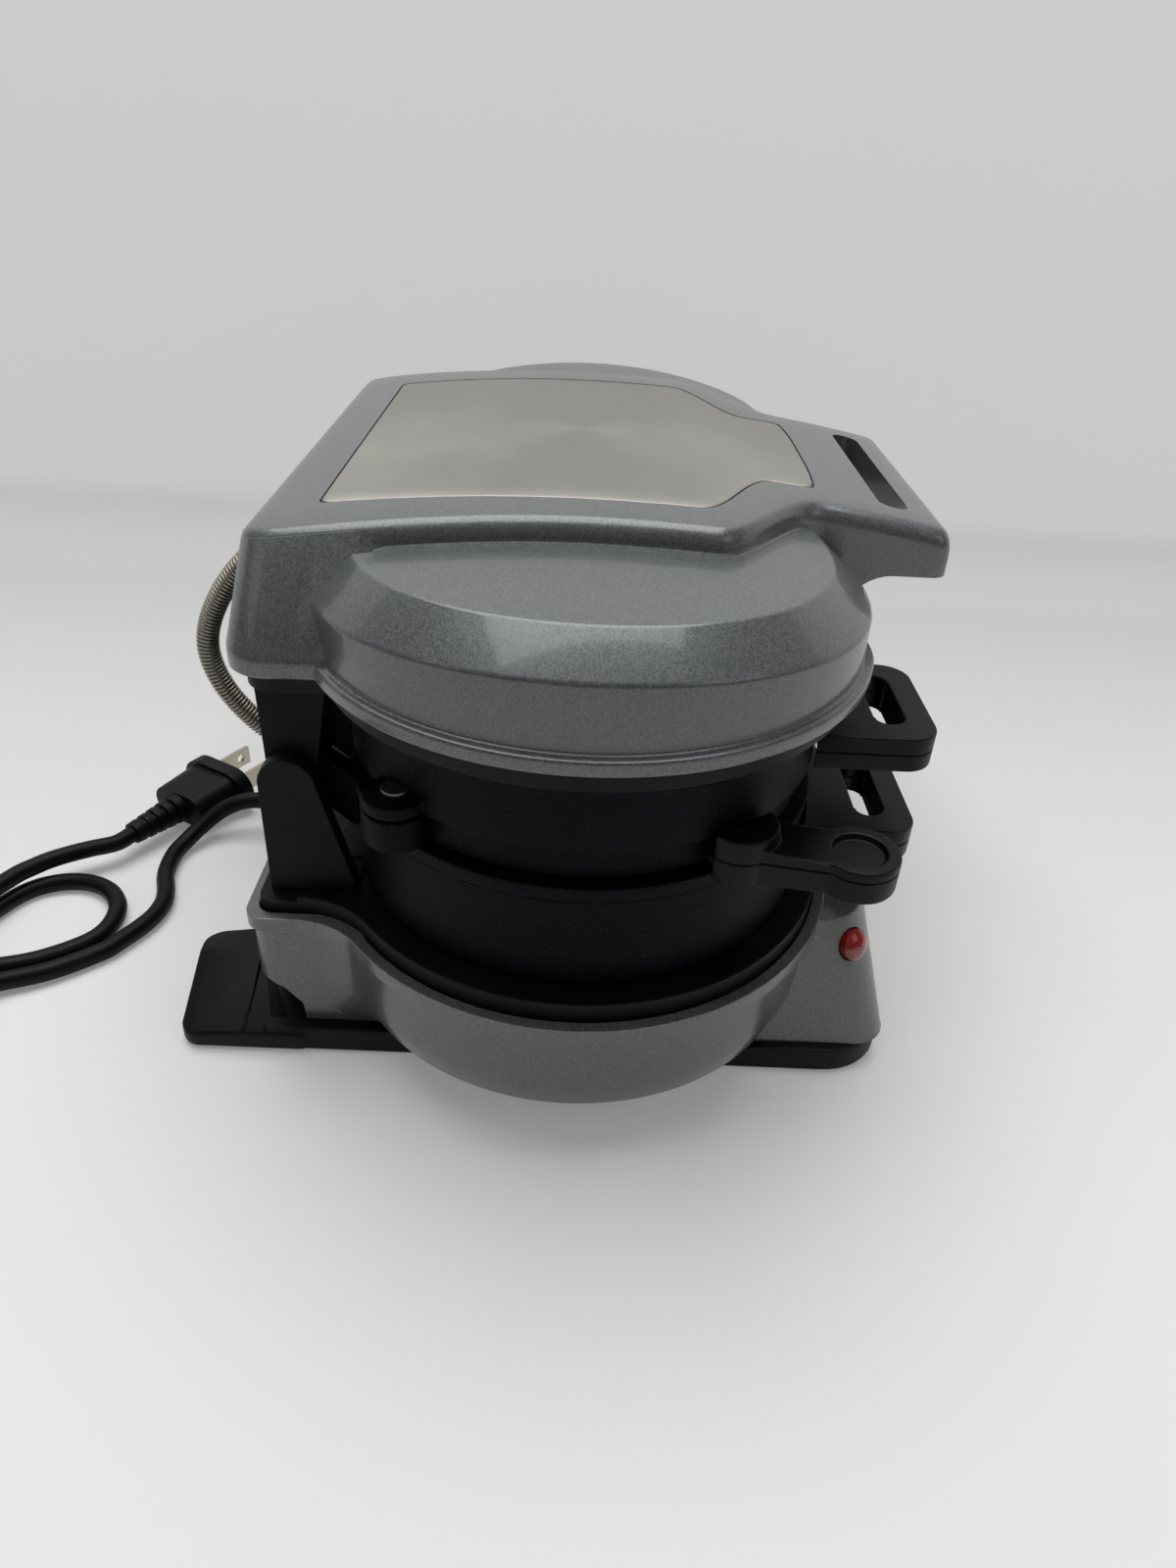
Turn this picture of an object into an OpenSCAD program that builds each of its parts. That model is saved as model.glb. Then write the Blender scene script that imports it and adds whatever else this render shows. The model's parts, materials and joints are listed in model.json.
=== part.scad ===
// Two-lobed breakfast sandwich maker with a shared cover, stacked rings and swing-out plates.
// Millimetres. +Z is up, the front faces -Y, and left and right are seen from the front.

/* [Lobes] */
// Distance between the centres of the two lobes
lobe_spacing = 120; // [116:1:124]
// Radius of the silver rim of a lobe
rim_r = 63.6; // [62:0.1:65]
// Radius of the black decks inside the silver rims
deck_r = 60.5; // [59.5:0.1:61]
// Height of the top of the base deck
deck_top = 46; // [44:0.5:50]
// Radius of the heating plates
heat_plate_r = 52.5; // [51:0.1:53]
// Outer radius of the rings
ring_r = 55; // [54.5:0.1:56]
// Wall thickness of the rings
ring_wall = 4; // [3:0.1:5]
// Height of a lower ring
lower_ring_h = 26; // [22:0.5:30]
// Height of an upper ring
upper_ring_h = 17.5; // [15:0.5:21]
// Radius of a cooking plate
plate_r = 52; // [50:0.1:53]
// Height of the rim of a cooking plate
plate_h = 7.5; // [6.5:0.1:8.5]
// Vertical clearance between stacked pieces
stack_gap = 0.6; // [0.4:0.1:0.8]

/* [Cover] */
// Thickness of the flange lip
flange_h = 3.4; // [3:0.1:4]
// Height of the upright wall of a cover lobe
cover_wall_h = 14; // [12:0.5:16]
// Height of the bevel of a cover lobe
bevel_h = 7; // [6:0.5:8]
// Radius of the flat disc on top of a cover lobe
disc_r = 52; // [50:0.5:54]
// Height of the crown of the body above the flat discs
crown_h = 5.2; // [4.5:0.1:6]
// Radius of the crown from front to rear
crown_r = 424; // [380:1:480]
// Half width of the body between the lobes
body_half_w = 72.6; // [70:0.2:74]
// Half width of the handle
handle_half_w = 43.5; // [41:0.5:45]
// Reach of the handle in front of the lobe centres
handle_reach = 85; // [82:0.5:87]
// Reach of the cover behind the lobe centres
cover_rear = 74.6; // [73:0.2:75]
// Radius of the rounded edges of the body
edge_r = 4; // [3:0.5:5]
// Half width of the finger slot in the handle
grip_slot_half_w = 33; // [30:0.5:35]
// Wall thickness of the housings
wall = 2.4; // [2:0.1:2.8]
// Thickness of the steel panel
panel_t = 0.8; // [0.6:0.1:1]
// Half width of the steel panel
panel_half_w = 58; // [55:0.5:60]

/* [Base] */
// Half width of the rims and walls behind the lobes
rear_half_w = 92; // [91:0.2:94]
// Reach of the base behind the lobe centres
base_rear = 78; // [77:0.2:80]
// Reach of the foot of the front wall
front_reach = 81; // [79:0.5:82]
// Lean of the front wall from the vertical
front_lean = 14; // [11:0.5:16]
// Half width of the skirt
skirt_half_w = 94; // [93:0.2:96]
// Height of the skirt
skirt_h = 7.2; // [7:0.1:7.4]
// Reach of the rear foot wings
wing_reach = 98; // [94:0.5:104]
// Radius of a rubber foot
foot_r = 7; // [5:0.5:9]

/* [Hinge] */
// Distance of the hinge axis behind the lobe centres
hinge_y = 66; // [65:0.1:67]
// Radius of the hinge rod
rod_r = 2.5; // [2:0.1:3]
// Radius of the knuckles on the rod
knuckle_r = 5; // [4.6:0.1:6]
// Thickness of a hinge ear
ear_t = 4.5; // [3.5:0.1:5]
// Radius of the rounded top of a hinge ear
ear_r = 6.5; // [6:0.1:8]
// Radial clearance of the running fits
running_gap = 0.05; // [0.03:0.01:0.08]

/* [Handles] */
// Width of a ring handle
ring_handle_w = 38; // [34:0.5:40]
// Reach of the ring handles in front of the lobe centres
ring_handle_reach = 80; // [78:0.5:84]
// Thickness of a ring handle
ring_handle_h = 8.6; // [8:0.1:9.5]
// Length of the tongue handle of a cooking plate
tongue_length = 33; // [30:0.5:38]
// Height of the tongue handle
tongue_h = 8; // [7.5:0.1:9]

/* [Front] */
// Radius of a lamp
lamp_r = 4; // [3:0.1:5]
// Width of the timer bezel
bezel_w = 62; // [56:1:68]
// Height of the timer bezel
bezel_h = 25; // [23:0.5:26]
// Travel of a button
button_travel = 0.8; // [0.5:0.1:1]

/* [Conduit] */
// Outer diameter of the steel jacket
jacket_d = 6.6; // [6.2:0.1:7]
// Diameter of the jacket's wire
jacket_wire_d = 1.2; // [1:0.05:1.3]
// Number of curls of the jacket
jacket_curls = 50; // [46:1:54]
// Reach of the conduit's middle behind the lobe centres
conduit_reach = 110.7; // [106:0.1:112]

/* [Mains lead] */
// Diameter of the lead
lead_d = 5.2; // [4.8:0.1:5.4]
// Half length of the straight runs of the hank
hank_run = 40; // [36:1:44]
// Fold radius of the innermost loop of the hank
hank_fold_r = 16; // [16:0.5:18]
// Step between neighbouring strands of the hank
hank_step = 6.2; // [6:0.1:6.6]

/* [Hidden] */
$fn = 64;

silver = "#9ba1a4";
black = "#1b1c1e";
coated = "#1a1d24";
bright = "#b9b6b0";

lobe_x = lobe_spacing / 2;
join = 0.3;
eps = 0.01;

// Heights of the stack, from the base deck up
deck_t = 2.4;
deck_depth = 6.5;
deck_low = deck_top - deck_depth;
rim_top = deck_top - 4.5;
rim_band_h = 4;
lower_ring_z = deck_top + stack_gap;
lower_ring_top = lower_ring_z + lower_ring_h;
plate_z = lower_ring_top + stack_gap;
plate_top = plate_z + plate_h;
upper_ring_z = plate_top + stack_gap;
upper_ring_top = upper_ring_z + upper_ring_h;
cover_deck_z = upper_ring_top + stack_gap;
cover_deck_h = 5.1;
flange_z = cover_deck_z + cover_deck_h;
flange_top = flange_z + flange_h;
cover_wall_top = flange_top + cover_wall_h;
disc_z = cover_wall_top + bevel_h;
crown_z = disc_z + crown_h;
hinge_z = lower_ring_top + 1.5;

// Plan sizes of the cover
cover_wall_r = rim_r - 2.3;
cover_corner_r = 9;
deck_rear = cover_rear - 3;
s_curve_rear = -25;
s_curve_front = -53;
crown_y = 1.8;
handle_t = 10.6;
handle_wall_y = -61;
grip_slot_y = -75.5;
grip_slot_d = 7.5;
panel_rear = 59.3;
panel_s_rear = -22.6;
panel_s_front = -42;
panel_nose_half_w = 30.6;
panel_nose = -53.5;
panel_gap = 0.4;

// Plan sizes of the base
base_wall_rear = base_rear - 0.8;
skirt_ground_gap = 0.8;
skirt_z = skirt_ground_gap;
skirt_top = skirt_z + skirt_h;
housing_floor = skirt_top;
front_top_z = rim_top - 0.5;
front_top_reach = front_reach - (front_top_z - housing_floor) * tan(front_lean);
face_z = 23;
face_reach = front_reach - (face_z - housing_floor) * tan(front_lean);
face_clear = 0.06;
corner_low_r = 9;
corner_high_r = 14;
lamp_z = 33.5;
lamp_turn = 36;
wing_inner_x = 64;
wing_corner_r = 5;
foot_h = 3;

// Plan of the hinge, outward from the middle of a lobe: two arms of each ring, the bracket, the ear
arm_w = 5.5;
lower_arm_x = 8.5;
upper_arm_x = 2;
bracket_gap = 1.2;
bracket_t = 4;
ear_gap = 0.8;
bracket_x = lobe_x + lower_arm_x + arm_w + bracket_gap;
ear_x = bracket_x + bracket_t + ear_gap;
ear_front = 52;
ear_rear = 72.5;
ear_foot_w = 7;
bracket_front = 56;
bracket_rear = 72;
rod_depth = 3;
screw_reach = 54;
rod_half_length = ear_x + rod_depth - join;

// Rings and plates
ring_inner_r = ring_r - ring_wall;
slot_front_w = 24;
slot_front_d = 7;
ring_handle_slot_y = -(ring_handle_reach - 10);
lower_handle_z = lower_ring_z + 10;
upper_handle_z = upper_ring_z + 0.4;
lug_dx = 40;
lug_y = 38.5;
lug_r = 7;
lug_h = 3;
pivot_r = 2;
pivot_head_r = 3;
pivot_head_h = 1.2;
tongue_x = 43.5;
tongue_y = -33;
tongue_turn = 9;
tongue_root_w = 16;
tongue_tip_w = 17;
tongue_z = plate_z - 1;
tang_t = 2.2;
tang_w = 8;
tang_z = plate_z + 1;

// Conduit
conduit_low_z = 31;
conduit_mid_z = 65.6;
conduit_high_z = flange_z;
jacket_r = (jacket_d - jacket_wire_d) / 2;
core_r = jacket_r - jacket_wire_d / 2 - 0.15;
gland_r = jacket_d / 2 + 0.9;

// Lead: hand-chosen points along the middle of the cord, from the gland to the hank
lead_r = lead_d / 2;
gland_length = 22;
lead_z = 12;
lead_exit = base_wall_rear + gland_length;
LEAD = [[0, 104, 12], [-0.8, 109, 11.2], [-3, 114.4, 9], [-6.8, 119, 6.2], [-12, 122.6, 3.9],
    [-18.5, 124.7, 2.9], [-28, 124, 2.7], [-36, 121.2, 2.7], [-42.5, 120, 2.7], [-50, 121.4, 2.7]];

// Where the base stands from front to rear, so that the middle of the whole is at y = 0
rear_reach = conduit_reach + jacket_d / 2;
lobe_y = (handle_reach - rear_reach) / 2;

// Moves the lobe-centred drawing to its place in the part
module placed() {
    translate([0, lobe_y, 0]) children();
}

// Draws a right-hand piece on the given side, 1 for right and -1 for left
module on_side(side) {
    placed() mirror([side < 0 ? 1 : 0, 0, 0]) children();
}

// Draws a piece on both sides
module both_sides() {
    for (side = [0, 1]) mirror([side, 0, 0]) children();
}

// Moves to the middle of the right-hand lobe
module at_lobe() {
    translate([lobe_x, 0, 0]) children();
}

function unit(v) = v / norm(v);

// Faces of a solid skinned over rings with m points each
function skin_faces(n, m) = concat(
    [[for (j = [m - 1 : -1 : 0]) j]],
    [for (i = [0 : n - 2], j = [0 : m - 1]) [i * m + j, (i + 1) * m + (j + 1) % m, (i + 1) * m + j]],
    [for (i = [0 : n - 2], j = [0 : m - 1]) [i * m + j, i * m + (j + 1) % m, (i + 1) * m + (j + 1) % m]],
    [[for (j = [0 : m - 1]) (n - 1) * m + j]]);

module skin(rings) {
    polyhedron([for (ring = rings) each ring], skin_faces(len(rings), len(rings[0])));
}

function along(points, i) =
    unit(points[min(i + 1, len(points) - 1)] - points[max(i - 1, 0)]);

function tube_ring(points, up, i, r, sides) =
    let (t = along(points, i), a = unit(cross(t, up[i])), b = cross(t, a))
    [for (k = [0 : sides - 1]) points[i] + r * (cos(360 * k / sides) * a + sin(360 * k / sides) * b)];

// A tube along points, with one reference direction for each point
module tube(points, up, r, sides) {
    skin([for (i = [0 : len(points) - 1]) tube_ring(points, up, i, r, sides)]);
}

function all_up(points) = [for (p = points) [0, 0, 1]];

// Least distance between points of one line that are at least skip apart along it
function least_gap(points, skip) =
    min([for (i = [0 : len(points) - skip - 1], j = [i + skip : len(points) - 1])
        norm(points[i] - points[j])]);

// Half width of the cover's body at y, inset by its wall
function s_curve(y, rear, front, wide, narrow) =
    y > rear ? wide : y < front ? narrow : (wide + narrow) / 2 + (wide - narrow) / 2
        * cos(180 * (rear - y) / (rear - front));

function body_top(y) = crown_z - crown_r + sqrt(pow(crown_r, 2) - pow(y - crown_y, 2));

// How far a rounded edge falls at distance d in from its end
function edge_drop(d, r) = d >= r ? 0 : r - sqrt(pow(r, 2) - pow(r - max(d, 0), 2));

function body_section(y, rear, front, z0, inset) =
    let (r = edge_r - inset / 2,
        drop = edge_drop(min(rear - y, y - front), r),
        side_drop = rear - y < r ? drop / 2 : drop,
        w = s_curve(y, s_curve_rear, s_curve_front, body_half_w, handle_half_w) - inset - side_drop,
        top = body_top(y) - inset - drop,
        right = [for (a = [0 : 30 : 90]) [w - r + r * cos(a), y, top - r + r * sin(a)]],
        left = [for (a = [90 : -30 : 0]) [-(w - r + r * cos(a)), y, top - r + r * sin(a)]])
    concat([[w, y, z0]], right, left, [[-w, y, z0]]);

function stations(rear, front, r) = concat(
    [for (a = [0 : 30 : 90]) front + r * (1 - cos(a))],
    [for (k = [1 : 21]) front + r + (rear - front - 2 * r) * k / 22],
    [for (a = [90 : -30 : 0]) rear - r * (1 - cos(a))]);

module body_loft(rear, front, z0, inset) {
    r = edge_r - inset / 2;
    skin([for (y = stations(rear, front, r)) body_section(y, rear, front, z0, inset)]);
}

// Section of the cover behind the lobes, where its sides flare to the flange
module flare(rear, inset) {
    low = flange_z - eps;
    intersection() {
        translate([0, rear, 0]) rotate([90, 0, 0]) linear_extrude(rear - 40)
            polygon([[0, low], [rear_half_w - inset, low], [rear_half_w - inset, flange_top + 0.8],
                [body_half_w + 4.6 - inset, flange_top + 17 - inset / 2],
                [body_half_w - inset, flange_top + 18.4 - inset], [0, flange_top + 18.4 - inset]]);
        translate([0, 0, low - 1]) linear_extrude(60)
            rear_plan(rear_half_w - inset, rear, cover_corner_r - inset);
    }
}

module rounded_plate(w, d, r, h) {
    linear_extrude(h) {
        square([w - 2 * r, d], center = true);
        square([w, d - 2 * r], center = true);
        for (x = [-1, 1], y = [-1, 1]) translate([x * (w / 2 - r), y * (d / 2 - r)]) circle(r);
    }
}

// Plan of the ground area behind and between the lobes
module rear_plan(half_w, rear, r) {
    translate([-half_w + r, 0]) square([2 * (half_w - r), rear]);
    translate([-half_w, 0]) square([2 * half_w, rear - r]);
    for (x = [-1, 1]) translate([x * (half_w - r), rear - r]) circle(r);
}

module lobes_plan(r) {
    for (x = [-1, 1]) translate([x * lobe_x, 0]) circle(r, $fn = 128);
}

module cover_plan(inset) {
    lobes_plan(rim_r - inset);
    rear_plan(rear_half_w - inset, cover_rear - inset, cover_corner_r);
    translate([-handle_half_w, handle_wall_y]) square([2 * handle_half_w, 60]);
}

// Solid under the painted surface of a cover lobe
module cover_lobe(inset) {
    low = flange_z - eps;
    at_lobe() rotate_extrude($fn = 128)
        polygon([[0, low], [cover_wall_r - inset, low], [cover_wall_r - inset, cover_wall_top - inset / 2],
            [disc_r - inset / 2, disc_z - inset], [0, disc_z - inset]]);
}

module panel_plan(gap) {
    n = 8;
    span = panel_s_rear - panel_s_front;
    wide = panel_half_w;
    side = [for (k = [0 : n]) let (y = panel_s_rear - span * k / n)
        [s_curve(y, panel_s_rear, panel_s_front, wide, panel_nose_half_w) + gap, y]];
    right = concat([[panel_half_w + gap, panel_rear + gap]], side,
        [[panel_nose_half_w + gap, panel_nose + 1.5 - gap], [12, panel_nose - gap]]);
    left = [for (i = [len(right) - 1 : -1 : 0]) [-right[i].x, right[i].y]];
    polygon(concat(right, left));
}

// Everything under the crown less the given depth
module under_crown(depth) {
    translate([-100, crown_y, crown_z - crown_r]) rotate([0, 90, 0])
        cylinder(r = crown_r - depth, h = 200, $fn = 720);
}

// Hollow of the cover
module cover_hollow() {
    body_loft(cover_rear - wall, handle_wall_y + wall, flange_z - 1, wall);
    both_sides() flare(cover_rear - wall, wall);
    both_sides() cover_lobe(wall);
    translate([0, 0, flange_z - 1]) linear_extrude(flange_h) {
        lobes_plan(deck_r - 2);
        rear_plan(rear_half_w - 2 * wall, cover_rear - wall, cover_corner_r - wall);
    }
}

module cover_housing() {
    color(silver) placed() difference() {
        union() {
            body_loft(cover_rear, -handle_reach, flange_z, 0);
            both_sides() flare(cover_rear, 0);
            both_sides() cover_lobe(0);
            translate([0, 0, flange_z]) linear_extrude(flange_h) cover_plan(0);
        }
        difference() {
            cover_hollow();
            both_sides() cover_bosses(3.6, 0);
        }
        both_sides() cover_screw_places() translate([0, 0, cover_deck_z]) cylinder(r = 1.65, h = 10);
        handle_hollows();
        intersection() {
            translate([0, 0, crown_z - 12]) linear_extrude(20) panel_plan(panel_gap);
            difference() {
                translate([-100, -100, crown_z - 30]) cube([200, 200, 60]);
                under_crown(panel_t + 0.1);
            }
        }
        translate([0, deck_rear - 6, conduit_high_z]) rotate([-90, 0, 0]) cylinder(r = gland_r + 0.1, h = 12);
    }
}

// Finger slot of the handle and the hollow under it
module handle_hollows() {
    handle_low = body_top(-handle_reach) - handle_t;
    sweep_r = 11;
    translate([0, grip_slot_y + grip_slot_d / 2 - 0.5, crown_z - 40])
        rounded_plate(2 * grip_slot_half_w, grip_slot_d, grip_slot_d / 2 - 0.2, 60);
    translate([-60, handle_wall_y - sweep_r, handle_low - sweep_r]) rotate([0, 90, 0])
        cylinder(r = sweep_r, h = 120);
    translate([-60, -handle_reach - 10, flange_z - 10])
        cube([120, handle_reach + 10 + handle_wall_y - sweep_r, handle_low - flange_z + 10]);
    translate([-60, -handle_reach - 10, flange_z - 10])
        cube([120, handle_reach + 10 + handle_wall_y, handle_low - sweep_r - flange_z + 10]);
}

module cover_panel() {
    color(bright) placed() intersection() {
        translate([0, 0, crown_z - 12]) linear_extrude(20) panel_plan(0);
        difference() {
            under_crown(0);
            under_crown(panel_t);
        }
    }
}

module cover_deck() {
    color(black) placed() difference() {
        translate([0, 0, cover_deck_z]) linear_extrude(cover_deck_h) {
            lobes_plan(deck_r);
            rear_plan(rear_half_w - 4, deck_rear, cover_corner_r - 3);
        }
        translate([0, 0, cover_deck_z + deck_t]) linear_extrude(cover_deck_h) {
            lobes_plan(deck_r - 2.4);
            rear_plan(rear_half_w - 6.4, deck_rear - 2.4, cover_corner_r - 5);
        }
        both_sides() at_lobe() translate([0, 0, cover_deck_z - 1])
            cylinder(r = heat_plate_r + join, h = 10, $fn = 128);
        both_sides() cover_screw_places() translate([0, 0, cover_deck_z - 1]) cylinder(r = 1.65, h = 10);
        translate([0, deck_rear - 6, conduit_high_z]) rotate([-90, 0, 0]) cylinder(r = gland_r + 0.1, h = 12);
    }
}

// A heating plate with its flange, face down at z = 0 for the top and turned over for the bottom
module heating_plate() {
    rotate_extrude($fn = 128) polygon([[0, 0], [heat_plate_r - 1, 0], [heat_plate_r, 1],
        [heat_plate_r, deck_t + 0.1], [heat_plate_r + 3, deck_t + 0.1], [heat_plate_r + 3, 4], [0, 4]]);
}

module top_plate(side) {
    color(coated) on_side(side) at_lobe() translate([0, 0, cover_deck_z]) heating_plate();
}

module bottom_plate(side) {
    color(coated) on_side(side) at_lobe() translate([0, 0, deck_top]) mirror([0, 0, 1]) heating_plate();
}

// A tubular heater with its two upright terminals, lying just clear of its plate
module heater() {
    coil_r = 34;
    tube_r = 3.2;
    rotate([0, 0, 20]) rotate_extrude(angle = 320) translate([coil_r, 0]) circle(tube_r);
    for (a = [20, 340]) rotate([0, 0, a]) translate([coil_r, 0, -2]) cylinder(r = 2, h = 9);
}

module lower_heaters() {
    color("#6d675f") placed() both_sides() at_lobe()
        translate([0, 0, deck_top - 4 - join - 3.2]) mirror([0, 0, 1]) heater();
}

module upper_heaters() {
    color("#6d675f") placed() both_sides() at_lobe()
        translate([0, 0, cover_deck_z + 4 + join + 3.2]) heater();
}

module thermostats() {
    color("#8b8478") placed() both_sides() at_lobe() {
        translate([0, 0, deck_top - 4 - join - 5]) cylinder(r = 8, h = 5);
        for (x = [-4, 4]) translate([x - 0.4, -2, deck_top - 4 - join - 11]) cube([0.8, 4, 7]);
    }
}

module thermal_fuse() {
    color("#c9c2b4") placed() both_sides() at_lobe()
        translate([-8, 0, cover_deck_z + 4 + join + 2]) rotate([0, 90, 0]) cylinder(r = 2, h = 16);
}

// Places of the screws in the right half of the cover
COVER_SCREWS = [[14, 62], [lobe_x - screw_reach, 28]];

module cover_screw_places() {
    for (p = COVER_SCREWS) translate([p.x, p.y, 0]) children();
}

// Bosses that hang from the top of the cover for its screws
module cover_bosses(r, below) {
    low = cover_deck_z + deck_t + join;
    for (p = COVER_SCREWS) translate([p.x, p.y, low - below])
        cylinder(r = r, h = below + body_top(p.y) - 1.7 - low);
}

module screw(head_r, shank_r, length) {
    difference() {
        cylinder(r = head_r, h = 2);
        translate([0, 0, -1]) cylinder(r = 1.2, h = 2, $fn = 6);
    }
    cylinder(r = shank_r, h = length);
}

module cover_screws() {
    color("#8d8f92") placed() both_sides() cover_screw_places()
        translate([0, 0, cover_deck_z - 2]) screw(3, 1.5, 8);
}

// Solid under the painted surface of a base lobe
module base_lobe(inset) {
    low = housing_floor;
    at_lobe() rotate_extrude($fn = 128)
        polygon([[0, low + inset], [rim_r - 14, low + inset], [rim_r - 9 - inset / 2, low + 1.4 + inset],
            [rim_r - 5 - inset, low + 5.5 + inset / 2], [rim_r - 2.6 - inset, low + 13],
            [rim_r - 1.6 - inset, rim_top - rim_band_h], [rim_r - 1.6 - inset, deck_low],
            [0, deck_low]]);
}

module front_block(inset) {
    hull() {
        translate([0, 0, housing_floor + inset])
            front_plate(front_reach, rear_half_w - 0.5, corner_low_r, inset);
        translate([0, 0, front_top_z - 0.2 - inset / 2])
            front_plate(front_top_reach, rear_half_w - 9, corner_high_r, inset);
    }
}

// Thin plate with two round front corners
module front_plate(reach, half_w, r, inset) {
    for (x = [-1, 1]) translate([x * (half_w - r), r - reach, 0]) cylinder(r = r - inset, h = 0.2, $fn = 48);
    translate([-half_w + inset, -36, 0]) cube([2 * (half_w - inset), 1, 0.2]);
}

module rear_block(inset) {
    half = rear_half_w - 1.5 - inset;
    translate([0, 0, housing_floor + inset]) linear_extrude(deck_low - housing_floor - inset)
        rear_plan(half, base_wall_rear - inset, 5);
    translate([-half, -40, housing_floor + inset]) cube([2 * half, 50, deck_low - housing_floor - inset - 3]);
}

// Line where a foot wing meets the lower rear corner of the base, seen from the side
WING_LINE = [[base_rear - 11.5, skirt_top], [base_rear - 11, skirt_top + 5], [base_rear - 7, skirt_top + 10],
    [base_rear + 1, skirt_top + 15]];

// Part of the base that makes room for the right-hand foot wing
module wing_notch(gap) {
    translate([wing_inner_x - gap, 0, 0]) rotate([90, 0, 90]) linear_extrude(40)
        polygon(concat([for (p = WING_LINE) p + [-gap, gap]], [[base_rear + 10, skirt_top + 15],
            [base_rear + 10, 0], [base_rear - 11.5 - gap, 0]]));
}

// Moves to the lamp's place on the right-hand front corner, with +Z out of the wall
module on_corner() {
    low = [rear_half_w - 0.5 - corner_low_r, corner_low_r - front_reach];
    high = [rear_half_w - 9 - corner_high_r, corner_high_r - front_top_reach];
    share = (lamp_z - housing_floor) / (front_top_z - housing_floor);
    middle = low + share * (high - low);
    r = corner_low_r + share * (corner_high_r - corner_low_r);
    out = [cos(lamp_turn), -sin(lamp_turn)];
    lean = atan(((low - high) * out + corner_low_r - corner_high_r) / (front_top_z - housing_floor));
    translate([middle.x + r * out.x, middle.y + r * out.y, lamp_z])
        rotate([0, 90 - lean, -lamp_turn]) children();
}

// Moves to the front wall, with +Z out of the wall
module on_front() {
    translate([0, -face_reach - face_clear, face_z]) rotate([90 - front_lean, 0, 0]) children();
}

module base_housing() {
    color(silver) placed() difference() {
        union() {
            difference() {
                union() {
                    both_sides() base_lobe(0);
                    front_block(0);
                    rear_block(0);
                    translate([0, 0, rim_top - rim_band_h]) linear_extrude(rim_band_h) {
                        lobes_plan(rim_r);
                        rear_plan(rear_half_w, base_rear, 5);
                    }
                }
                both_sides() base_lobe(wall);
                front_block(wall);
                rear_block(wall);
                translate([0, 0, deck_low - join]) linear_extrude(rim_band_h) {
                    lobes_plan(deck_r + join);
                    rear_plan(rear_half_w - 3 + join, base_rear - 3 + join, 4);
                }
            }
            screw_bosses(4, 0);
        }
        screw_bosses(1.65, 1);
        both_sides() wing_notch(join);
        on_front() translate([0, 0, -8]) rounded_plate(bezel_w - 8, bezel_h - 6, 6, 12);
        both_sides() on_corner() translate([0, 0, -8]) cylinder(r = lamp_r + 0.2, h = 12);
        translate([0, base_rear - 6, lead_z]) rotate([-90, 0, 0]) cylinder(r = lead_r + 1.6, h = 10);
        translate([0, base_rear - 6, conduit_low_z]) rotate([-90, 0, 0]) cylinder(r = gland_r + 0.1, h = 10);
    }
}

module skirt_screw_places() {
    for (x = [-58, 0, 58], y = [-44, 44]) translate([x, y, 0]) children();
}

module screw_bosses(r, below) {
    skirt_screw_places() translate([0, 0, housing_floor - below]) cylinder(r = r, h = 15 + below);
}

module skirt_screws() {
    color("#8d8f92") placed() skirt_screw_places() translate([0, 0, skirt_top - 4.4]) screw(3, 1.5, 15);
}

module skirt_plan(inset) {
    r = 16 - inset;
    half = skirt_half_w - inset;
    reach = front_reach - inset;
    rear = base_rear - 2 - inset;
    translate([-half + r, -reach]) square([2 * (half - r), reach + rear]);
    translate([-half, -reach + r]) square([2 * half, reach + rear - r]);
    for (x = [-1, 1]) translate([x * (half - r), -reach + r]) circle(r);
}

module base_skirt() {
    color(black) placed() difference() {
        union() {
            translate([0, 0, skirt_z]) linear_extrude(skirt_h) skirt_plan(0);
            both_sides() foot_wing();
        }
        difference() {
            translate([0, 0, skirt_z - 1]) linear_extrude(skirt_h - 1.6) skirt_plan(3.5);
            foot_places() translate([0, 0, skirt_z - 1]) cylinder(r = foot_r + 2.5, h = 10);
            skirt_screw_places() translate([0, 0, skirt_z + 3]) cylinder(r = 5.5, h = 10);
        }
        foot_places() translate([0, 0, -1]) cylinder(r = foot_r + 0.1, h = 1 + foot_h);
        skirt_screw_places() {
            translate([0, 0, skirt_z - 1]) cylinder(r = 1.65, h = 12);
            translate([0, 0, skirt_z - 1]) cylinder(r = 3.4, h = skirt_h - 1.4);
        }
    }
}

// Rear foot wing: a wedge that falls to the outer side
module foot_wing() {
    outer = skirt_half_w + 0.5 - wing_corner_r;
    inner = wing_inner_x + 1 + wing_corner_r;
    near = base_rear - 10;
    rear = wing_reach - wing_corner_r;
    difference() {
        hull() for (c = [[inner, near, 14], [outer, near, 6], [inner, base_rear + 2, 15.5],
            [outer, base_rear + 2, 6], [inner, rear, 13.5], [outer, rear, 5]])
            translate([c.x, c.y, skirt_z]) cylinder(r = wing_corner_r, h = c.z - skirt_z, $fn = 32);
        translate([wing_inner_x - 3, 0, 0]) rotate([90, 0, 90]) linear_extrude(40)
            polygon(concat([[base_rear - 30, skirt_top]], WING_LINE,
                [[base_rear + 1, 40], [base_rear - 30, 40]]));
    }
}

module foot_places() {
    for (x = [-80, 80]) {
        translate([x, -68, 0]) children();
        translate([x, base_rear + 8, 0]) children();
    }
}

module rubber_feet() {
    color("#2b2b2d") placed() foot_places() cylinder(r = foot_r, h = foot_h);
}

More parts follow.
